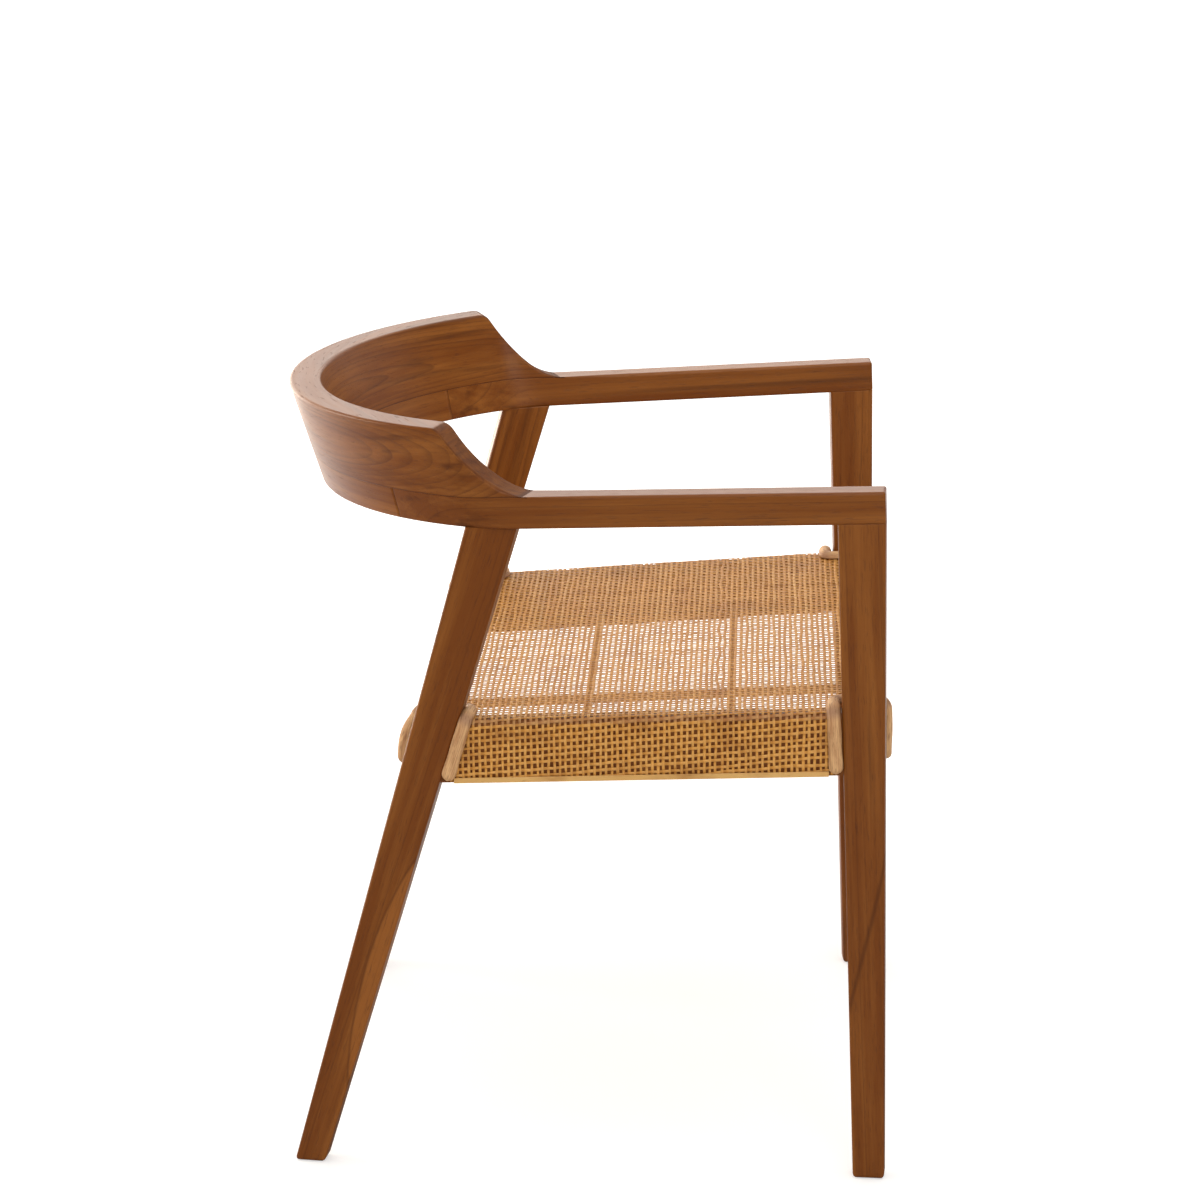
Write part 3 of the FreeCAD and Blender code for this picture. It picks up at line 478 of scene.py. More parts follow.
def tilted(plank, degrees):
    # Turns the grain a little off the plank's length
    a, b = np.radians(degrees)
    along, across, depth = np.moveaxis(plank, -1, 0)
    return columns(along, across + along * np.tan(a), depth + along * np.tan(b))


def mirrored(points):
    return points * (-1, 1, 1)


def handed(points, name):
    return mirrored(points) if name.endswith("right") else points


legGrain = {
    "front_leg_right": {"tilt": (1.4, -1.0), "pith": (0.03, -0.05), "shift": 0.31, "tone": 0.02,
                        "vein": (0.0533, -0.216)},
    "front_leg_left": {"tilt": (-1.0, 0.8), "pith": (-0.04, 0.05), "shift": 1.27, "tone": -0.02},
    "rear_leg_right": {"tilt": (0.9, 1.6), "pith": (0.02, 0.06), "shift": 2.14, "tone": -0.20,
                       "sap": (0.205, 0.135, 0.0205, -0.0175)},
    "rear_leg_left": {"tilt": (1.2, -0.7), "pith": (0.05, -0.04), "shift": 3.42, "tone": -0.10},
}
for node, grain in legGrain.items():
    rings, plank = legRings(legs[node.split("_")[0]])
    plank, name = tilted(plank, grain.pop("tilt")), node.replace("leg", "post")
    addPiece(name, [handed(rings, node)[None]], {"plank": plank}, teak("teak_" + node, **grain), node)
print("legs done")


back = {
    "center": 0.259, "swell": 0.0101, "cornerRadius": 0.150, "lean": 0.027, "handle": 0.36,
    "width": 0.026, "topWidth": 0.030, "armDepth": 0.030, "height": 0.097, "jointAngle": 41.5,
    "tipAngle": 27.8, "tipRound": 0.0075, "scoopLength": 0.072, "scoopBend": 0.54, "scoopSkew": 20.0,
    "noseSink": 0.0003, "noseKeel": 0.0010, "keelStart": 0.6, "noseFade": (0.16, 0.02),
    "armEasing": 0.0026, "underEasing": 0.0022, "crestEasing": 0.0030, "glueEasing": 0.0003, "endEasing": 0.0018,
    "topShare": 0.4, "glueShare": 0.2, "armLength": 0.5, "armShares": (0, 0.46, 0.80, 1),
    "armStations": 120, "ringStations": 60, "crestStations": 70, "scoopStations": 40,
}
lineReach = (chair["armSpread"] - back["center"] * np.tan(toe)) * np.cos(toe)
backRadius = lineReach + back["swell"]
cornerReach = backRadius - back["cornerRadius"]
cornerTurn = toe + np.arccos((lineReach - back["cornerRadius"]) / cornerReach)
backCenter = np.array([0.0, back["center"]])
cornerCenter = backCenter + bearing(cornerTurn) * cornerReach


# Half outline of the back in plan, u in 0..1 along the straight arm, 1..2 round the bend, 2..3 to the apex:
# a line, a cubic Bezier whose handles leave along both tangents, and an arc about the back's centre
def outline(u, armInset, backInset, lean):
    u = np.asarray(u, float)[..., None]
    turn = cornerCenter + bearing(toe) * (back["cornerRadius"] - armInset)
    reach = backRadius + lean - backInset
    join = backCenter + bearing(cornerTurn) * reach
    front = np.array([chair["armSpread"], 0.0]) - bearing(toe) * armInset
    pull = back["handle"] * np.linalg.norm(join - turn)
    line = lerp(front, turn, np.clip(u, 0, 1))
    t = np.clip(u - 1, 0, 1)
    bend = ((1 - t) ** 3 * turn + 3 * t * (1 - t) ** 2 * (turn + tangent(toe) * pull)
            + 3 * t ** 2 * (1 - t) * (join - tangent(cornerTurn) * pull) + t ** 3 * join)
    angle = lerp(cornerTurn, np.pi / 2, u - 2)
    arc = backCenter + np.concatenate([np.cos(angle), np.sin(angle)], -1) * reach
    return np.where(u < 1, line, np.where(u < 2, bend, arc))


# A wall of the back at height z: straight from its foot outline to its leaning head outline
def wall(u, z, inner):
    width, topWidth = (back["width"], back["topWidth"]) if inner else (0.0, 0.0)
    foot, head = outline(u, width, width, 0.0), outline(u, width, topWidth, back["lean"])
    z = np.broadcast_to(z, np.shape(u))[..., None]
    return np.concatenate([lerp(foot, head, z / back["height"]), z], -1)


# Sections from outer bottom to outer top, inner top and inner bottom
def wallCorners(outerU, innerU, low, top):
    return np.stack([wall(outerU, low, False), wall(outerU, top, False),
                     wall(innerU, top, True), wall(innerU, low, True)], 1)


jointU = 2 + (np.radians(back["jointAngle"]) - cornerTurn) / (np.pi / 2 - cornerTurn)


# Scoop: a quadratic curve from the tip down to the arm, carried straight across the crest along the skew.
# reach is the distance ahead of the tip along the skew's tangent, and z the height there.
def scoopCurve(steps, tipSteps=6, tipShare=0.05):
    q = np.linspace(tipShare, 1, steps)
    low = back["armDepth"] - back["noseSink"]
    bend = back["scoopLength"] * back["scoopBend"]
    reach = 2 * q * (1 - q) * bend + q ** 2 * back["scoopLength"]
    z = (1 - q) ** 2 * back["height"] + (1 - (1 - q) ** 2) * low
    t = np.linspace(0, 1, tipSteps + 1)[:-1]  # the rounded tip before it
    roundReach = t ** 2 * reach[0] - (1 - t) ** 2 * back["tipRound"]
    roundZ = (1 - t ** 2) * back["height"] + t ** 2 * z[0]
    return np.r_[roundReach, reach], np.r_[roundZ, z]


skew = np.radians(back["scoopSkew"])
scoopTip = backCenter + bearing(np.radians(back["tipAngle"])) * (backRadius + back["lean"])


# Where the scoop's straight line at this reach and height meets a wall, halving the range of u each time
def scoopMeets(reach, z, inner, halvings=40):
    low, high = np.full(reach.shape, 0.2), np.full(reach.shape, 3.0)
    for _ in range(halvings):
        middle = (low + high) / 2
        ahead = (scoopTip - wall(middle, z, inner)[..., :2]) @ tangent(skew)
        low, high = np.where(ahead > reach, middle, low), np.where(ahead > reach, high, middle)
    return (low + high) / 2


scoopReach, scoopZ = scoopCurve(back["scoopStations"])
scoopOuter, scoopInner = scoopMeets(scoopReach, scoopZ, False), scoopMeets(scoopReach, scoopZ, True)
noseU = (scoopOuter[-1] + scoopInner[-1]) / 2


def pathPlank(rings, corners):
    # Grain that follows a curved piece: length along its middle, height, and distance from the outer wall
    along = lengthAlong(corners.mean(1))
    inward = np.linalg.norm((rings - corners[:, :1])[..., :2], axis=-1)
    return columns((along - along[-1] / 2)[:, None], rings[..., 2], inward)


def armPiece(hand, grain):
    shares, inset = easedStations(back["armStations"], back["armLength"], back["endEasing"], square=True)
    u = np.interp(shares, back["armShares"], [0, 1, 2, jointU])
    ahead, behind = back["noseFade"]
    covered = np.interp(u, [noseU - ahead, noseU + behind], [0, 1])
    top, under = lerp(back["armEasing"], back["glueEasing"], covered), np.full(len(u), back["underEasing"])
    rings = easedRings(wallCorners(u, u, 0.0, back["armDepth"]), np.stack([under, top, top, under], 1), inset)
    flat = rings[..., :2] @ np.stack([tangent(toe), bearing(toe)], 1)
    plank = tilted(np.concatenate([flat, rings[..., 2:]], -1), grain.pop("tilt"))
    addPiece("arm_rail_" + hand, [handed(fromArmFrame(rings), hand)[None]], {"plank": plank},
             teak("teak_arm_" + hand, **grain), "arm_" + hand)


armPiece("right", {"tilt": (0.5, 0.6), "pith": (0.30, -0.03), "shift": 4.1, "tone": -0.10})
armPiece("left", {"tilt": (-0.4, 0.5), "pith": (0.20, 0.06), "shift": 5.3, "tone": 0.0})


def wholeBack(half):
    # Left half from its end to the apex, then the same mirrored back to the other end
    return np.concatenate([half, mirrored(half)[-2::-1]])


u = np.linspace(jointU, 3, back["ringStations"])
corners = wholeBack(wallCorners(u, u, 0.0, back["armDepth"]))
edges = [back[key] for key in ("underEasing", "glueEasing", "glueEasing", "underEasing")]
rings = easedRings(corners, edges)
plank = pathPlank(rings, corners)
addPiece("back_ring", [fromArmFrame(rings)[None]], {"plank": tilted(plank, (1.2, 2.0))},
         teak("teak_back_ring", (0.09, 0.10), shift=6.2, ends=plank[..., 0].max()), "back_rail")

# Crest: from the scoop's nose up to the tip, then along to the apex
run = back["crestStations"]
outerU, innerU = (np.r_[scoop[::-1], np.linspace(scoop[0], 3, run)[1:]] for scoop in (scoopOuter, scoopInner))
crestZ = np.r_[scoopZ[::-1], np.full(run - 1, back["height"])]
keelSpan = [back["keelStart"] * back["scoopLength"], back["scoopLength"]]
keel = back["noseKeel"] * np.interp(scoopReach[::-1], keelSpan, [0, 1])
crestLow = back["armDepth"] - np.r_[keel, np.zeros(run - 1)]
corners = wholeBack(wallCorners(outerU, innerU, crestLow, crestZ))
tall = corners[:, 1, 2] - corners[:, 0, 2]
top = np.minimum(back["crestEasing"], back["topShare"] * tall)
glue = np.minimum(back["glueEasing"], back["glueShare"] * tall)
rings = easedRings(corners, np.stack([glue, top, top, glue], 1))
# Right half: past one place the rings open along the crest, so that they show as nested arcs
# (a smooth ramp, m (s + sqrt(s^2 + e^2)) / 2). Left half: a gentle slope.
crestGrain = {"bow": 0.19, "bowAt": 0.185, "ease": 0.05, "slope": 0.06, "height": 0.060}
plank = pathPlank(rings, corners)
ahead = plank[..., 0] - crestGrain["bowAt"]
bow = crestGrain["bow"] * (ahead + np.hypot(ahead, crestGrain["ease"])) / 2
bow = bow - crestGrain["slope"] * np.minimum(plank[..., 0], 0)
plank[..., 1] -= crestGrain["height"]
plank[..., 2] = bow - plank[..., 2]
scooped, cutRings = np.zeros_like(plank), len(scoopZ) - 2
topFace = slice(10, 18)  # from the middle of the outer top edge to the middle of the inner one
scooped[:cutRings, topFace] = scooped[-cutRings:, topFace] = (1.0, 0.0, 0.0)
addPiece("back_crest_scooped", [fromArmFrame(rings)[None]], {"plank": plank, "scooped": scooped},
         teak("teak_crest", (0.0, -0.022), pitch=0.0038, tone=0.06, shift=7.7, warp=0.007, rare=1.0,
              glue=back["armDepth"] - crestGrain["height"], cut="scooped"), "back_crest")
print("back done")


mat = {
    "middle": 0.00125, "edgeRadius": 0.0070, "crossWave": 0.00037, "longWave": 0.00015, "thickness": 0.00042,
    "crossPitch": 0.0053, "crossWidth": 0.0028, "longPitch": 0.0063, "longWidth": 0.0032, "foldedWidth": -0.09,
    "stationsPerPitch": 2.1, "wobble": 0.00030, "wobbleLengths": (0.16, 0.055, 0.021),
    "wobbleSizes": (1.0, 0.7, 0.4), "widthSpread": 0.07, "widthWave": 0.05, "widthTurns": 90, "crown": 0.86,
    "lastGap": 0.001, "lowGap": 0.004, "shortest": 0.02, "longNumber": 500, "nudge": 0.0002, "seed": 7,
}
trim = {
    "bed": 0.0028, "clearance": 0.0073, "width": 0.0128, "rise": 0.0065, "endLift": 0.006,
    "bendRadii": (0.0083, 0.009, 0.0083), "endRound": 0.006, "endLeast": 0.02, "endHeight": 0.35,
    "stations": 110, "ringPoints": 15, "rearRise": {"left": -0.0040, "right": 0.0046},
    "widthSwell": ((0.03, 210, 0), (0.02, 87, 1)), "riseSwell": ((0.04, 160, 2),),
}


def innerCorner(plan, depthShare, gap):
    corner, turn, width, depth = plan
    aside = tangent(turn) * (depth * depthShare + (2 * depthShare - 1) * gap)
    return corner - bearing(turn) * (width + gap) + aside


def besideLeg(plan, depthShare, y):
    x, cornerY = innerCorner(plan, depthShare, trim["clearance"])
    return x - (y - cornerY) * np.tan(plan[1])


def bedPoint(x, y):
    return np.array([x, y, seatTop(y) + trim["bed"]])


seatNormal = unit((0.0, seatFall, 1.0))
sideNormal = np.array([np.cos(toe), np.sin(toe), 0.0])
frontNormal, rearNormal = np.array([0.0, -1.0, 0.0]), unit((0.0, 1.0, rearRake))


def frontTrimPoints():
    corner, _, _, depth = plan = legPlan(legs["front"], chair["seatHeight"])
    y = corner[1] + depth + trim["clearance"]
    front = armFront - trim["bed"]
    edge, brow = bedPoint(seatSide(y, trim["bed"]), y), bedPoint(besideLeg(plan, 1, front), front)
    low = np.array([brow[0], front, seatTop(front) - drop + trim["endLift"]])
    return [edge - seatNormal * drop, edge, bedPoint(besideLeg(plan, 1, y), y), brow, low]


def rearTrimPoints():
    top = seatTop(chair["seatRear"])
    plan, lowPlan = legPlan(legs["rear"], top), legPlan(legs["rear"], top - drop)
    rake = (lowPlan[0][1] - plan[0][1]) / drop
    y = innerCorner(plan, 0, trim["clearance"] * np.hypot(1, rake))[1]
    outer = y + (seatSide(y, trim["bed"]) - besideLeg(plan, 0, y)) * np.tan(plan[1])
    edge = bedPoint(seatSide(outer, trim["bed"]), outer)
    rear = (chair["seatRear"] + trim["bed"] / np.cos(np.radians(chair["seatRake"]))
            - trim["bed"] * rearRake / (1 - rearRake * seatFall))
    brow = bedPoint(besideLeg(plan, 0, rear), rear)
    rearDrop = drop - trim["endLift"]
    return [edge + (0, drop * rake, -drop), edge, bedPoint(besideLeg(plan, 0, y), y), brow,
            brow + (0, rearDrop * rearRake, -rearDrop)]


frontTrim, rearTrim = frontTrimPoints(), rearTrimPoints()
# Where the trims stand along the sides: at the top edge, and for the raked rear ones also at the lower edge
frontY, rearY, lowRearY = frontTrim[1][1], rearTrim[1][1], rearTrim[0][1]

# Front to back section of the mat: up the front, over the top and down the raked rear
yFront = armFront - mat["middle"]
yRear = chair["seatRear"] + mat["middle"] / np.cos(np.radians(chair["seatRake"]))
sectionCorners = [(yFront, seatTop(yFront) - drop), (yFront, seatTop(yFront) + mat["middle"]),
                  (yRear, seatTop(yRear) + mat["middle"]), (yRear + drop * rearRake, seatTop(yRear) - drop)]
sectionLength, sectionPath, sectionTurn = roundedLine(sectionCorners, [mat["edgeRadius"]] * 2)
sectionHeading = unit(np.gradient(sectionPath, axis=0))
sectionNormal = np.stack([-sectionHeading[:, 1], sectionHeading[:, 0]], 1)
topStart = np.interp(0.5, sectionTurn, sectionLength)
topEnd = np.interp(1.5, sectionTurn, sectionLength)


# The mat unrolled: a runs across it and b along it. Across, the path is flat, then an arc, then straight down:
# past the edge's start the turn is the extra length over the radius, held at a quarter turn
def matPoint(a, b):
    section = readAlong(sectionLength, np.concatenate([sectionPath, sectionNormal], 1), b)
    y, z = section[..., 0], section[..., 1]
    radius, hand = mat["edgeRadius"], np.sign(a)
    flat = seatSide(y, mat["middle"]) - radius
    extra = np.abs(a) - flat
    angle = np.clip(extra / radius, 0, np.pi / 2)
    x = hand * (np.minimum(np.abs(a), flat) + radius * np.sin(angle))
    down = radius * (1 - np.cos(angle)) + np.maximum(extra - radius * np.pi / 2, 0)
    turned = np.cos(angle)[..., None] * columns(0.0, section[..., 2], section[..., 3])
    normal = unit(turned + np.sin(angle)[..., None] * columns(hand, np.tan(toe), 0.0))
    return columns(x, y, z - down), normal, 1 - np.clip(normal[..., 2], 0, 1)


# Length across the unrolled mat from which the way down the side is counted: the half width, less what the
# rounded edge saves, r (2 - pi / 2)
def sideStart(y):
    return seatSide(y, mat["middle"]) + mat["edgeRadius"] * (np.pi / 2 - 2)


random = np.random.default_rng(mat["seed"])


# Slow sideways wander of each strand: three sine waves of its own phases
def wander(strands, at):
    phase = random.uniform(0, 2 * np.pi, (strands, 1, 3))
    size = random.normal(0, 1, (strands, 1, 3)) * mat["wobbleSizes"]
    angle = at[..., None] / mat["wobbleLengths"] * 2 * np.pi + phase
    return (np.sin(angle) * size).sum(-1) * mat["wobble"]


# Flat strips over and under the other family: the height is a cosine of the crossing count,
# in step with the strand's own number. Rings are four corners about the strip's middle line.
def strips(number, place, start, end, family):
    order, crossed = (1, mat["longPitch"]) if family == "cross" else (-1, mat["crossPitch"])
    stations = int(np.max(end - start) / crossed * mat["stationsPerPitch"]) + 2
    run = lerp(start[:, None], end[:, None], np.linspace(0, 1, stations))
    sideways = place[:, None] + wander(len(place), run)
    wide = mat[family + "Width"] * (1 + random.normal(0, mat["widthSpread"], (len(place), 1))
                                    + mat["widthWave"] * np.sin(run * mat["widthTurns"] + number[:, None]))
    middle, normal, folded = matPoint(*(run, sideways)[::order])
    beside = matPoint(*(run, sideways + mat["nudge"])[::order])[0]  # gives the direction across
    across = unit(beside - middle)
    wide = wide * (1 + mat["foldedWidth"] * folded)
    over = order * np.cos(np.pi * (run / crossed + number[:, None]))
    middle = middle + normal * (over * mat[family + "Wave"])[..., None]
    half, thick = across * wide[..., None] / 2, normal * mat["thickness"] / 2
    upper = half * mat["crown"]
    rings = np.stack([middle - half - thick, middle + half - thick, middle + upper + thick,
                      middle - upper + thick], 2)
    corners = np.array([-1.0, 1.0, 1.0, -1.0])
    strip = columns(run[..., None], corners, number[:, None, None])
    # fold: how far the strip has turned down, and whether it lies over or under; the cane material paints light and
    # shade from both
    fold = columns(folded[..., None], over[..., None], 0 * corners)
    return rings, strip.reshape(-1, 3), fold.reshape(-1, 3)


def crossStrips():
    number = np.arange(np.ceil(sectionLength[-1] / mat["crossPitch"]))
    place = (number + 0.5) * mat["crossPitch"]
    keep = place < sectionLength[-1] - mat["lastGap"]
    number, place = number[keep], place[keep]
    y = readAlong(sectionLength, sectionPath, place)[:, 0]
    onTop = (place > topStart) & (place < topEnd)
    full = onTop & (y > frontY) & (y < rearY)
    reach = sideStart(y) + drop
    limit = np.where(full, reach, np.where(y < frontY, frontTrim[3][0], rearTrim[3][0]))
    groups = [strips(number[pick], place[pick], -limit[pick], limit[pick], "cross") for pick in (full, ~full)]
    # Short ones beside the raked rear legs, from the trim down to the lower edge
    pick = onTop & (y > rearY) & (y < lowRearY)
    start = sideStart(y) + np.interp(y, [rearY, lowRearY], [0.0, drop])
    for side in (1, -1) if pick.any() else ():
        ends = side * np.stack([start, reach])[:, pick]
        groups.append(strips(number[pick], place[pick], ends.min(0), ends.max(0), "cross"))
    return groups


def longStrips():
    half = np.floor((sideStart(frontY) + drop) / mat["longPitch"] - 0.5)
    number = np.arange(-half, half + 1)
    place = number * mat["longPitch"]
    away = np.abs(place)
    # b where the strips pass under the trims that cross their way
    frontB, rearB, lowRearB = np.interp([frontY, rearY, lowRearY], sectionPath[:, 0], sectionLength)
    inner, middle = rearTrim[2][0], frontTrim[2][0]
    start = np.where(away < middle, 0.0, frontB)
    sideLitShare = np.clip((away - seatSide(rearY, mat["middle"])) / drop, 0, 1)
    end = np.where(away < inner, sectionLength[-1], lerp(rearB, lowRearB, sideLitShare))
    # Past the lower edge towards the rear, as the seat narrows: the strip leaves the mat there
    bottomY = armFront + (chair["armSpread"] + drop - mat["lowGap"] - away) / np.tan(toe)
    bottomB = np.interp(bottomY, sectionPath[:, 0], sectionLength)
    end = np.where(away > middle, np.minimum(end, np.maximum(bottomB, start + mat["shortest"])), end)
    return [strips(number[pick] + mat["longNumber"], place[pick], start[pick], end[pick], "long")
            for pick in (away < inner, (away >= inner) & (away < middle), away >= middle)]


caneMaterial = splitCane("split_cane", caneLook["side"])
edgeMaterial = splitCane("edge_cane", caneLook["edge"])
for name, groups in (("mat_cross_strips", crossStrips()), ("mat_long_strips", longStrips())):
    rings, strip, fold = zip(*groups)
    addPiece(name, rings, {"strip": np.concatenate(strip), "fold": np.concatenate(fold)},
             caneMaterial, "seat_weave")
print("mat done")


# One and a few sine waves, each given by its size, rate and phase
def swelling(s, waves):
    return 1 + sum(size * np.sin(s * rate + phase) for size, rate, phase in waves)


# Trims: a half-round section carried along the rounded line, narrowed to a round end
def trimPiece(name, points, endNormal, bow):
    length, path, turns = roundedLine(points, trim["bendRadii"])
    s = np.linspace(0, length[-1], trim["stations"])
    middle, turn = readAlong(length, path, s), np.interp(s, length, turns)
    normal = unit(readAlong([0, 1, 2, 3], [sideNormal, seatNormal, seatNormal, endNormal], turn))
    last = length[-2]  # where the last arc ends
    share = np.clip((s - last) / (length[-1] - last), 0, 1)
    heading = unit(np.gradient(middle, axis=0))
    across = unit(np.cross(heading, normal))
    normal = np.cross(across, heading)
    toEnd = np.minimum(s, length[-1] - s) / trim["endRound"]
    close = np.sqrt(1 - (1 - np.clip(toEnd, trim["endLeast"], 1)) ** 2)
    angle = np.linspace(0, np.pi, trim["ringPoints"])
    # Both sizes close at the ends and swell a little along the way
    wide = trim["width"] / 2 * close * swelling(s, trim["widthSwell"])
    high = trim["rise"] * lerp(trim["endHeight"], 1, close) * swelling(s, trim["riseSwell"])
    high = high + 4 * share * (1 - share) * bow
    rings = (middle[:, None] + across[:, None] * (np.cos(angle) * wide[:, None])[..., None]
             + normal[:, None] * (np.sin(angle) * high[:, None])[..., None])
    # Bend share: where the pole material paints shade on the bends
    bend = np.sin(np.pi * turn) ** 2  # most in the middle of each arc
    addPiece(name, [handed(rings, name)[None]], {"pole": columns(s[:, None], angle, bend[:, None])},
             poleMaterial, name.replace("pole", "corner"))


poleMaterial = peeledPole("peeled_cane")
for hand in ("left", "right"):
    trimPiece("pole_trim_front_" + hand, frontTrim, frontNormal, 0.0)
    trimPiece("pole_trim_rear_" + hand, rearTrim, rearNormal, trim["rearRise"][hand])
print("trims done")

bars = {
    "edgeOutset": (0.0021, 0.0037), "edgeHeight": 0.005, "edgeEasing": 0.0004, "stations": 60,
    "battenThickness": 0.007, "battenEasing": 0.0012, "caneStations": 240, "canePoints": 20, "caneThickness": 0.96,
    "knot": 0.07, "knotPitch": 0.118, "knotStart": 0.3, "knotPeak": 1600, "caneBow": (0.0006, 9, 40),
}


# Straight bar between two four-cornered ends, eased along its edges and at both ends
def bar(name, first, last, easing, slot, material, node, key):
    length = np.linalg.norm(np.subtract(last, first).mean(0))
    shares, inset = easedStations(bars["stations"], length, easing, support=easing / 4)
    corners = lerp(first, last, shares[:, None, None])
    rings = easedRings(corners, easing, inset, arcSteps=3, support=easing / 4)
    rise = (corners[:, 1] - corners[:, 0])[:, None]
    across = ((rings - corners[:, :1]) * rise).sum(-1) / (rise ** 2).sum(-1) * 2 - 1
    number = sum(map(ord, node)) if key == "strip" else 0.0  # a strand number from the node's name
    look = columns((shares * length)[:, None], across, number)
    fold = np.broadcast_to((1.0, 0.0, 0.0), look.shape)
    addPiece(name, [rings[None]], {key: look, "fold": fold}, material, node)


def edgeCorners(low, normal, rise):
    # Outer low, outer high, inner high and inner low corner of an edge strip's end
    near, far = (normal * outset for outset in bars["edgeOutset"])
    rise = rise * bars["edgeHeight"]
    return [low + far, low + far + rise, low + near + rise, low + near]


def edgeBar(end, first, last):
    node = "edge_strip_" + end
    bar("edge_binding_" + end, first, last, bars["edgeEasing"], "cane_weave", edgeMaterial, node, "strip")


upward = np.array([0.0, 0.0, 1.0])
for hand, side in (("left", 1), ("right", -1)):
    ends = []
    for y in (frontTrim[0][1] + trim["width"] / 2, rearTrim[0][1] - trim["width"] / 2):
        low = side * seatSide(y, 0), y, seatTop(y) - drop
        ends.append(edgeCorners(low, sideNormal * (side, 1, 1), upward))
    edgeBar(hand, *ends)
for end, y, normal, rise, last in (
        ("front", armFront, frontNormal, upward, frontTrim[4]),
        ("rear", chair["seatRear"] + drop * rearRake, rearNormal, np.array([0.0, -rearRake, 1.0]), rearTrim[4])):
    reach, base = last[0] + trim["width"] / 2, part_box("edge_strip_" + end)[0].z
    edgeBar(end, *(edgeCorners((x, y, base), normal, rise) for x in (-reach, reach)))

lowest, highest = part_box("seat_center_batten")
ends = []
for y, low in ((lowest.y, highest.z - bars["battenThickness"]), (highest.y, lowest.z)):
    high = low + bars["battenThickness"]
    ends.append([(highest.x, y, low), (highest.x, y, high), (lowest.x, y, high), (lowest.x, y, low)])
bar("center_batten", *ends, bars["battenEasing"], "cane_pole", poleMaterial, "seat_center_batten", "pole")


# Cross cane: a circle carried from side to side, with a slow bow and a low swelling at every knot
def crossCane(name):
    lowest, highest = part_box("seat_" + name)
    x = np.linspace(lowest.x, highest.x, bars["caneStations"])[:, None]
    angle = np.linspace(0, 2 * np.pi, bars["canePoints"], endpoint=False)
    away = (x / bars["knotPitch"] + bars["knotStart"]) % 1 - 0.5
    knot = np.exp(-away ** 2 * bars["knotPeak"])
    radius = (highest.z - lowest.z) / 2 * (bars["caneThickness"] + bars["knot"] * knot)
    size, rate, phase = bars["caneBow"]
    bow = size * np.sin(x * rate + lowest.y * phase)  # another phase for each cane
    rings = columns(x, (lowest.y + highest.y) / 2 + bow + radius * np.cos(angle),
                    (lowest.z + highest.z) / 2 + radius * np.sin(angle))
    addPiece(name, [rings[None]], {"pole": columns(x, angle, knot)}, poleMaterial, "seat_" + name)


crossCane("cross_cane_front")
crossCane("cross_cane_rear")
print("bars done")


def keepShape(material, *nodes):
    for node in nodes:
        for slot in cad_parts[node].material_slots:
            slot.material = material


# Pieces that keep their CAD shape
# The rails are darkened all over: painted shade for the holes of the mat that lies over them
keepShape(teak("teak_rails", (0.2, 0.3), tone=0.10, paintedShade=0.12, source="Object"),
          "seat_front_rail", "seat_rear_rail", "seat_side_rail_left", "seat_side_rail_right",
          "back_tongue_left", "back_tongue_right")
keepShape(screwSteel("screw_steel"), "batten_screws")

studio = {
    "floorHalf": 30.0, "floorDrop": 0.0003, "floorColor": (0.6, 0.6, 0.6, 1), "bounceColor": (0.8, 0.8, 0.8, 1),
    "floorGlow": (0.50, 1.0), "glowRadius": (0.6, 1.6), "darkFloor": (0.05, 0.05, 0.05, 1),
    "worldLevel": 0.50, "worldColor": (1.0, 0.985, 0.96, 1), "frontGloss": 0.08,
    "floorFade": (-0.3, 0.9), "worldFade": (0.0, 0.6),
    # Place, aim, size, watts, colour
    "overhead_softbox": ((-0.3, -0.2, 2.6), (0, 0, 0.4), 2.2, 26, (1.0, 0.98, 0.95)),
    "side_softbox": ((-2.9, -0.5, 1.9), (0, 0, 0.4), 1.8, 33, (1.0, 0.98, 0.95)),
    "far_softbox": ((2.6, 0.2, 1.75), (0, 0, 0.6), 1.8, 18, (1.0, 0.90, 0.78)),
    "rear_softbox": ((2.0, 1.5, 0.6), (0, 0.2, 0.65), 1.7, 46, (1.0, 0.88, 0.74)),
    "back_softbox": ((0.5, 2.7, 0.8), (0, 0.2, 0.55), 1.2, 46, (1.0, 0.88, 0.74)),
    "front_softbox": ((0.7, -2.5, 0.9), (0, 0, 0.6), 1.0, 3, (1.0, 0.95, 0.90)),
}


def ray(field, kind):
    return field.node("ShaderNodeLightPath", output="Is " + kind + " Ray")


def seenDirectly(field):
    return (ray(field, "Camera") + ray(field, "Glossy") + ray(field, "Transmission")).held()


# 1, but for reflections 1 only on the far side of the chair and dimmer on the camera's side
def roomLevel(field, x, low, high):
    return 1 - ray(field, "Glossy") * (1 - x.step(low, high)) * (1 - studio["frontGloss"])


def bareTree(holder):
    holder.use_nodes = True
    holder.node_tree.nodes.clear()
    return Field(holder.node_tree)


def closeTree(surface, kind):
    surface.tree.links.new(surface.socket, surface.tree.nodes.new(kind).inputs["Surface"])


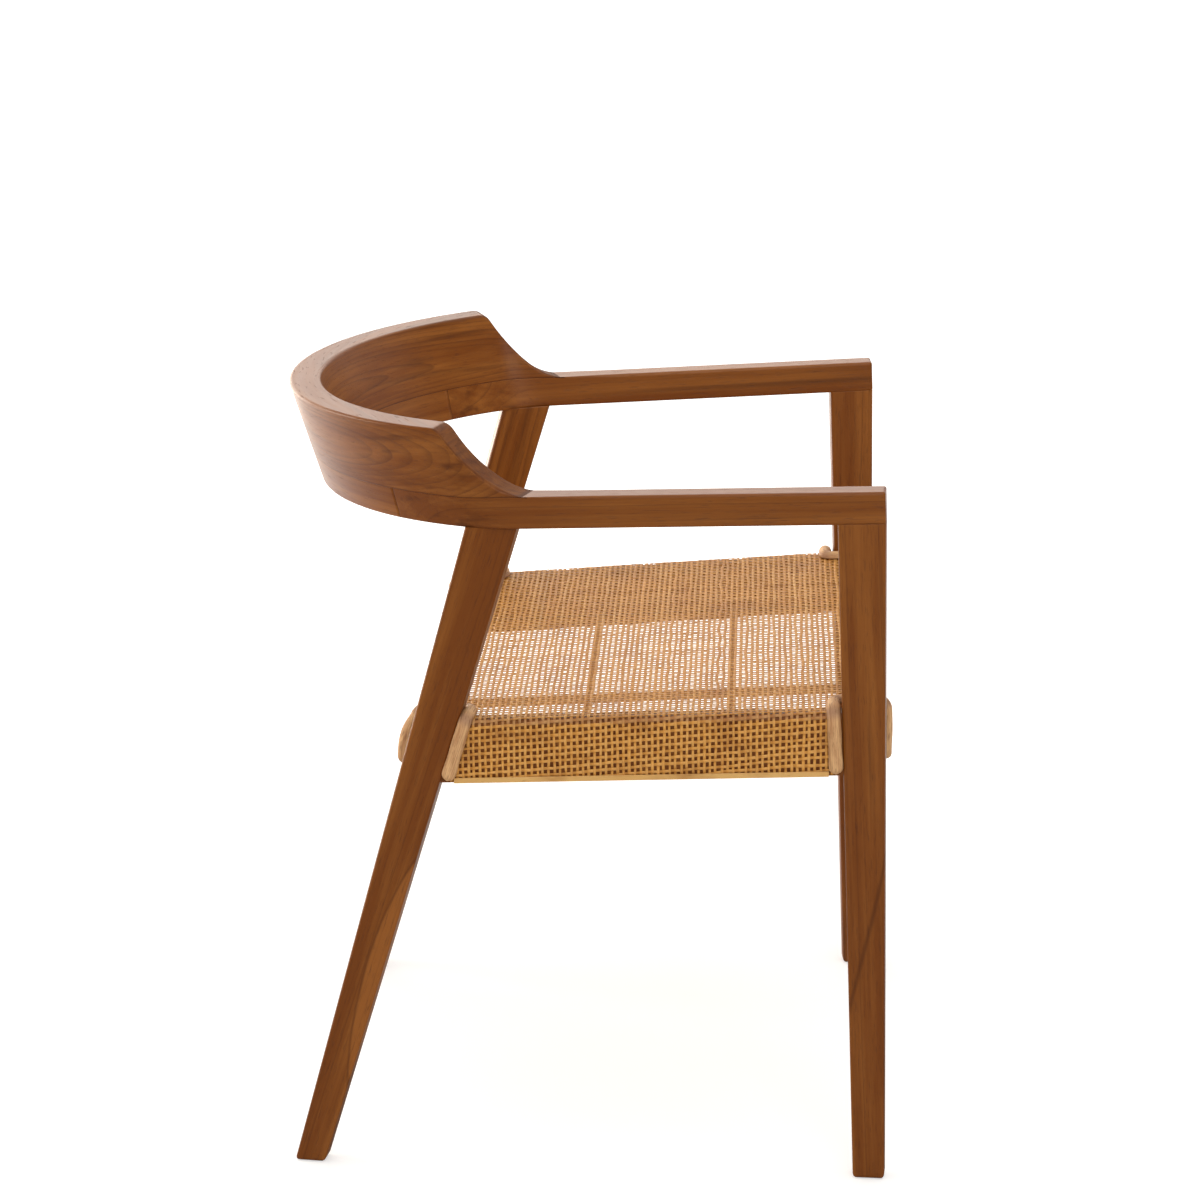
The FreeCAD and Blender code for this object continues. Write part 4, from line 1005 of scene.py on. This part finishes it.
def floorPlane():
    half, z = studio["floorHalf"], -studio["floorDrop"]
    mesh = bpy.data.meshes.new("studio_floor")
    mesh.from_pydata([(-half, -half, z), (half, -half, z), (half, half, z), (-half, half, z)], [], [(0, 1, 2, 3)])
    floor = addObject("studio_floor", mesh)
    material = bpy.data.materials.new("studio_white")
    field = bareTree(material)
    pale, dark, plain = (field.node("ShaderNodeBsdfDiffuse", None, {"Color": studio[key]})
                         for key in ("floorColor", "darkFloor", "bounceColor"))
    near, far = (field.node("ShaderNodeEmission", None, {"Strength": level}) for level in studio["floorGlow"])
    x, y = field.coordinates().parts()[:2]
    glow = ((x * x + y * y) ** 0.5).step(*studio["glowRadius"]).mixShader(near, far)
    seen = field.node("ShaderNodeAddShader", None, {0: pale, 1: glow})
    seen = roomLevel(field, x, *studio["floorFade"]).mixShader(dark, seen)
    closeTree(seenDirectly(field).mixShader(plain, seen), "ShaderNodeOutputMaterial")
    mesh.materials.append(material)


def studioWorld():
    world = bpy.data.worlds.new("studio_world")
    bpy.context.scene.world = world
    field = bareTree(world)
    light, black, white = (field.node("ShaderNodeBackground", None, {"Color": color, "Strength": strength})
                           for color, strength in ((studio["worldColor"], studio["worldLevel"]),
                                                   ((1, 1, 1, 1), 0.0), ((1, 1, 1, 1), 1.0)))
    level = roomLevel(field, field.coordinates("Generated").parts()[0], *studio["worldFade"])
    closeTree(seenDirectly(field).mixShader(light, level.mixShader(black, white)), "ShaderNodeOutputWorld")


def stand(holder, place, axes):
    holder.matrix_world = Matrix.Translation(place) @ Matrix(axes.tolist()).to_4x4()


def addLamp(name, place, aim, size, watts, color):
    light = bpy.data.lights.new(name, "AREA")
    light.shape, light.size, light.energy, light.color = "SQUARE", size, watts, color
    ahead = unit(np.subtract(aim, place))
    right = unit(np.cross(ahead, upward))
    stand(addObject(name, light), place, np.stack([right, np.cross(right, ahead), -ahead], 1))


# yaw, pitch and roll are in radians
camera = {
    "place": (-3.672618, -0.168502, 1.514820), "yaw": -0.0432523, "pitch": 0.2747584, "roll": -0.0061725,
    "focalPixels": 3914.19, "imagePixels": 1200.0, "sensor": 36.0,
}


# Turn by an angle in the plane of two axes
def spin(first, second, angle):
    turn = np.eye(3)
    turn[first, first] = turn[second, second] = np.cos(angle)
    turn[second, first], turn[first, second] = np.sin(angle), -np.sin(angle)
    return turn


# Camera axes as rows right, down, ahead: looks along +X, then turned by yaw, pitch and roll in its own frame
def addCamera():
    lens = bpy.data.cameras.new("photo_camera")
    lens.sensor_width = camera["sensor"]
    lens.lens = camera["focalPixels"] / camera["imagePixels"] * camera["sensor"]
    base = np.array([[0, -1, 0], [0, 0, -1], [1, 0, 0]])
    turn = spin(0, 1, camera["roll"]) @ spin(1, 2, camera["pitch"]) @ spin(0, 2, camera["yaw"])
    right, down, ahead = turn @ base
    holder = addObject("photo_camera", lens)
    stand(holder, camera["place"], np.stack([right, -down, -ahead], 1))
    bpy.context.scene.camera = holder


floorPlane()
studioWorld()
for name in studio:
    if name.endswith("softbox"):
        addLamp(name, *studio[name])
addCamera()
bpy.context.scene.view_settings.view_transform = "Standard"
print("studio done")
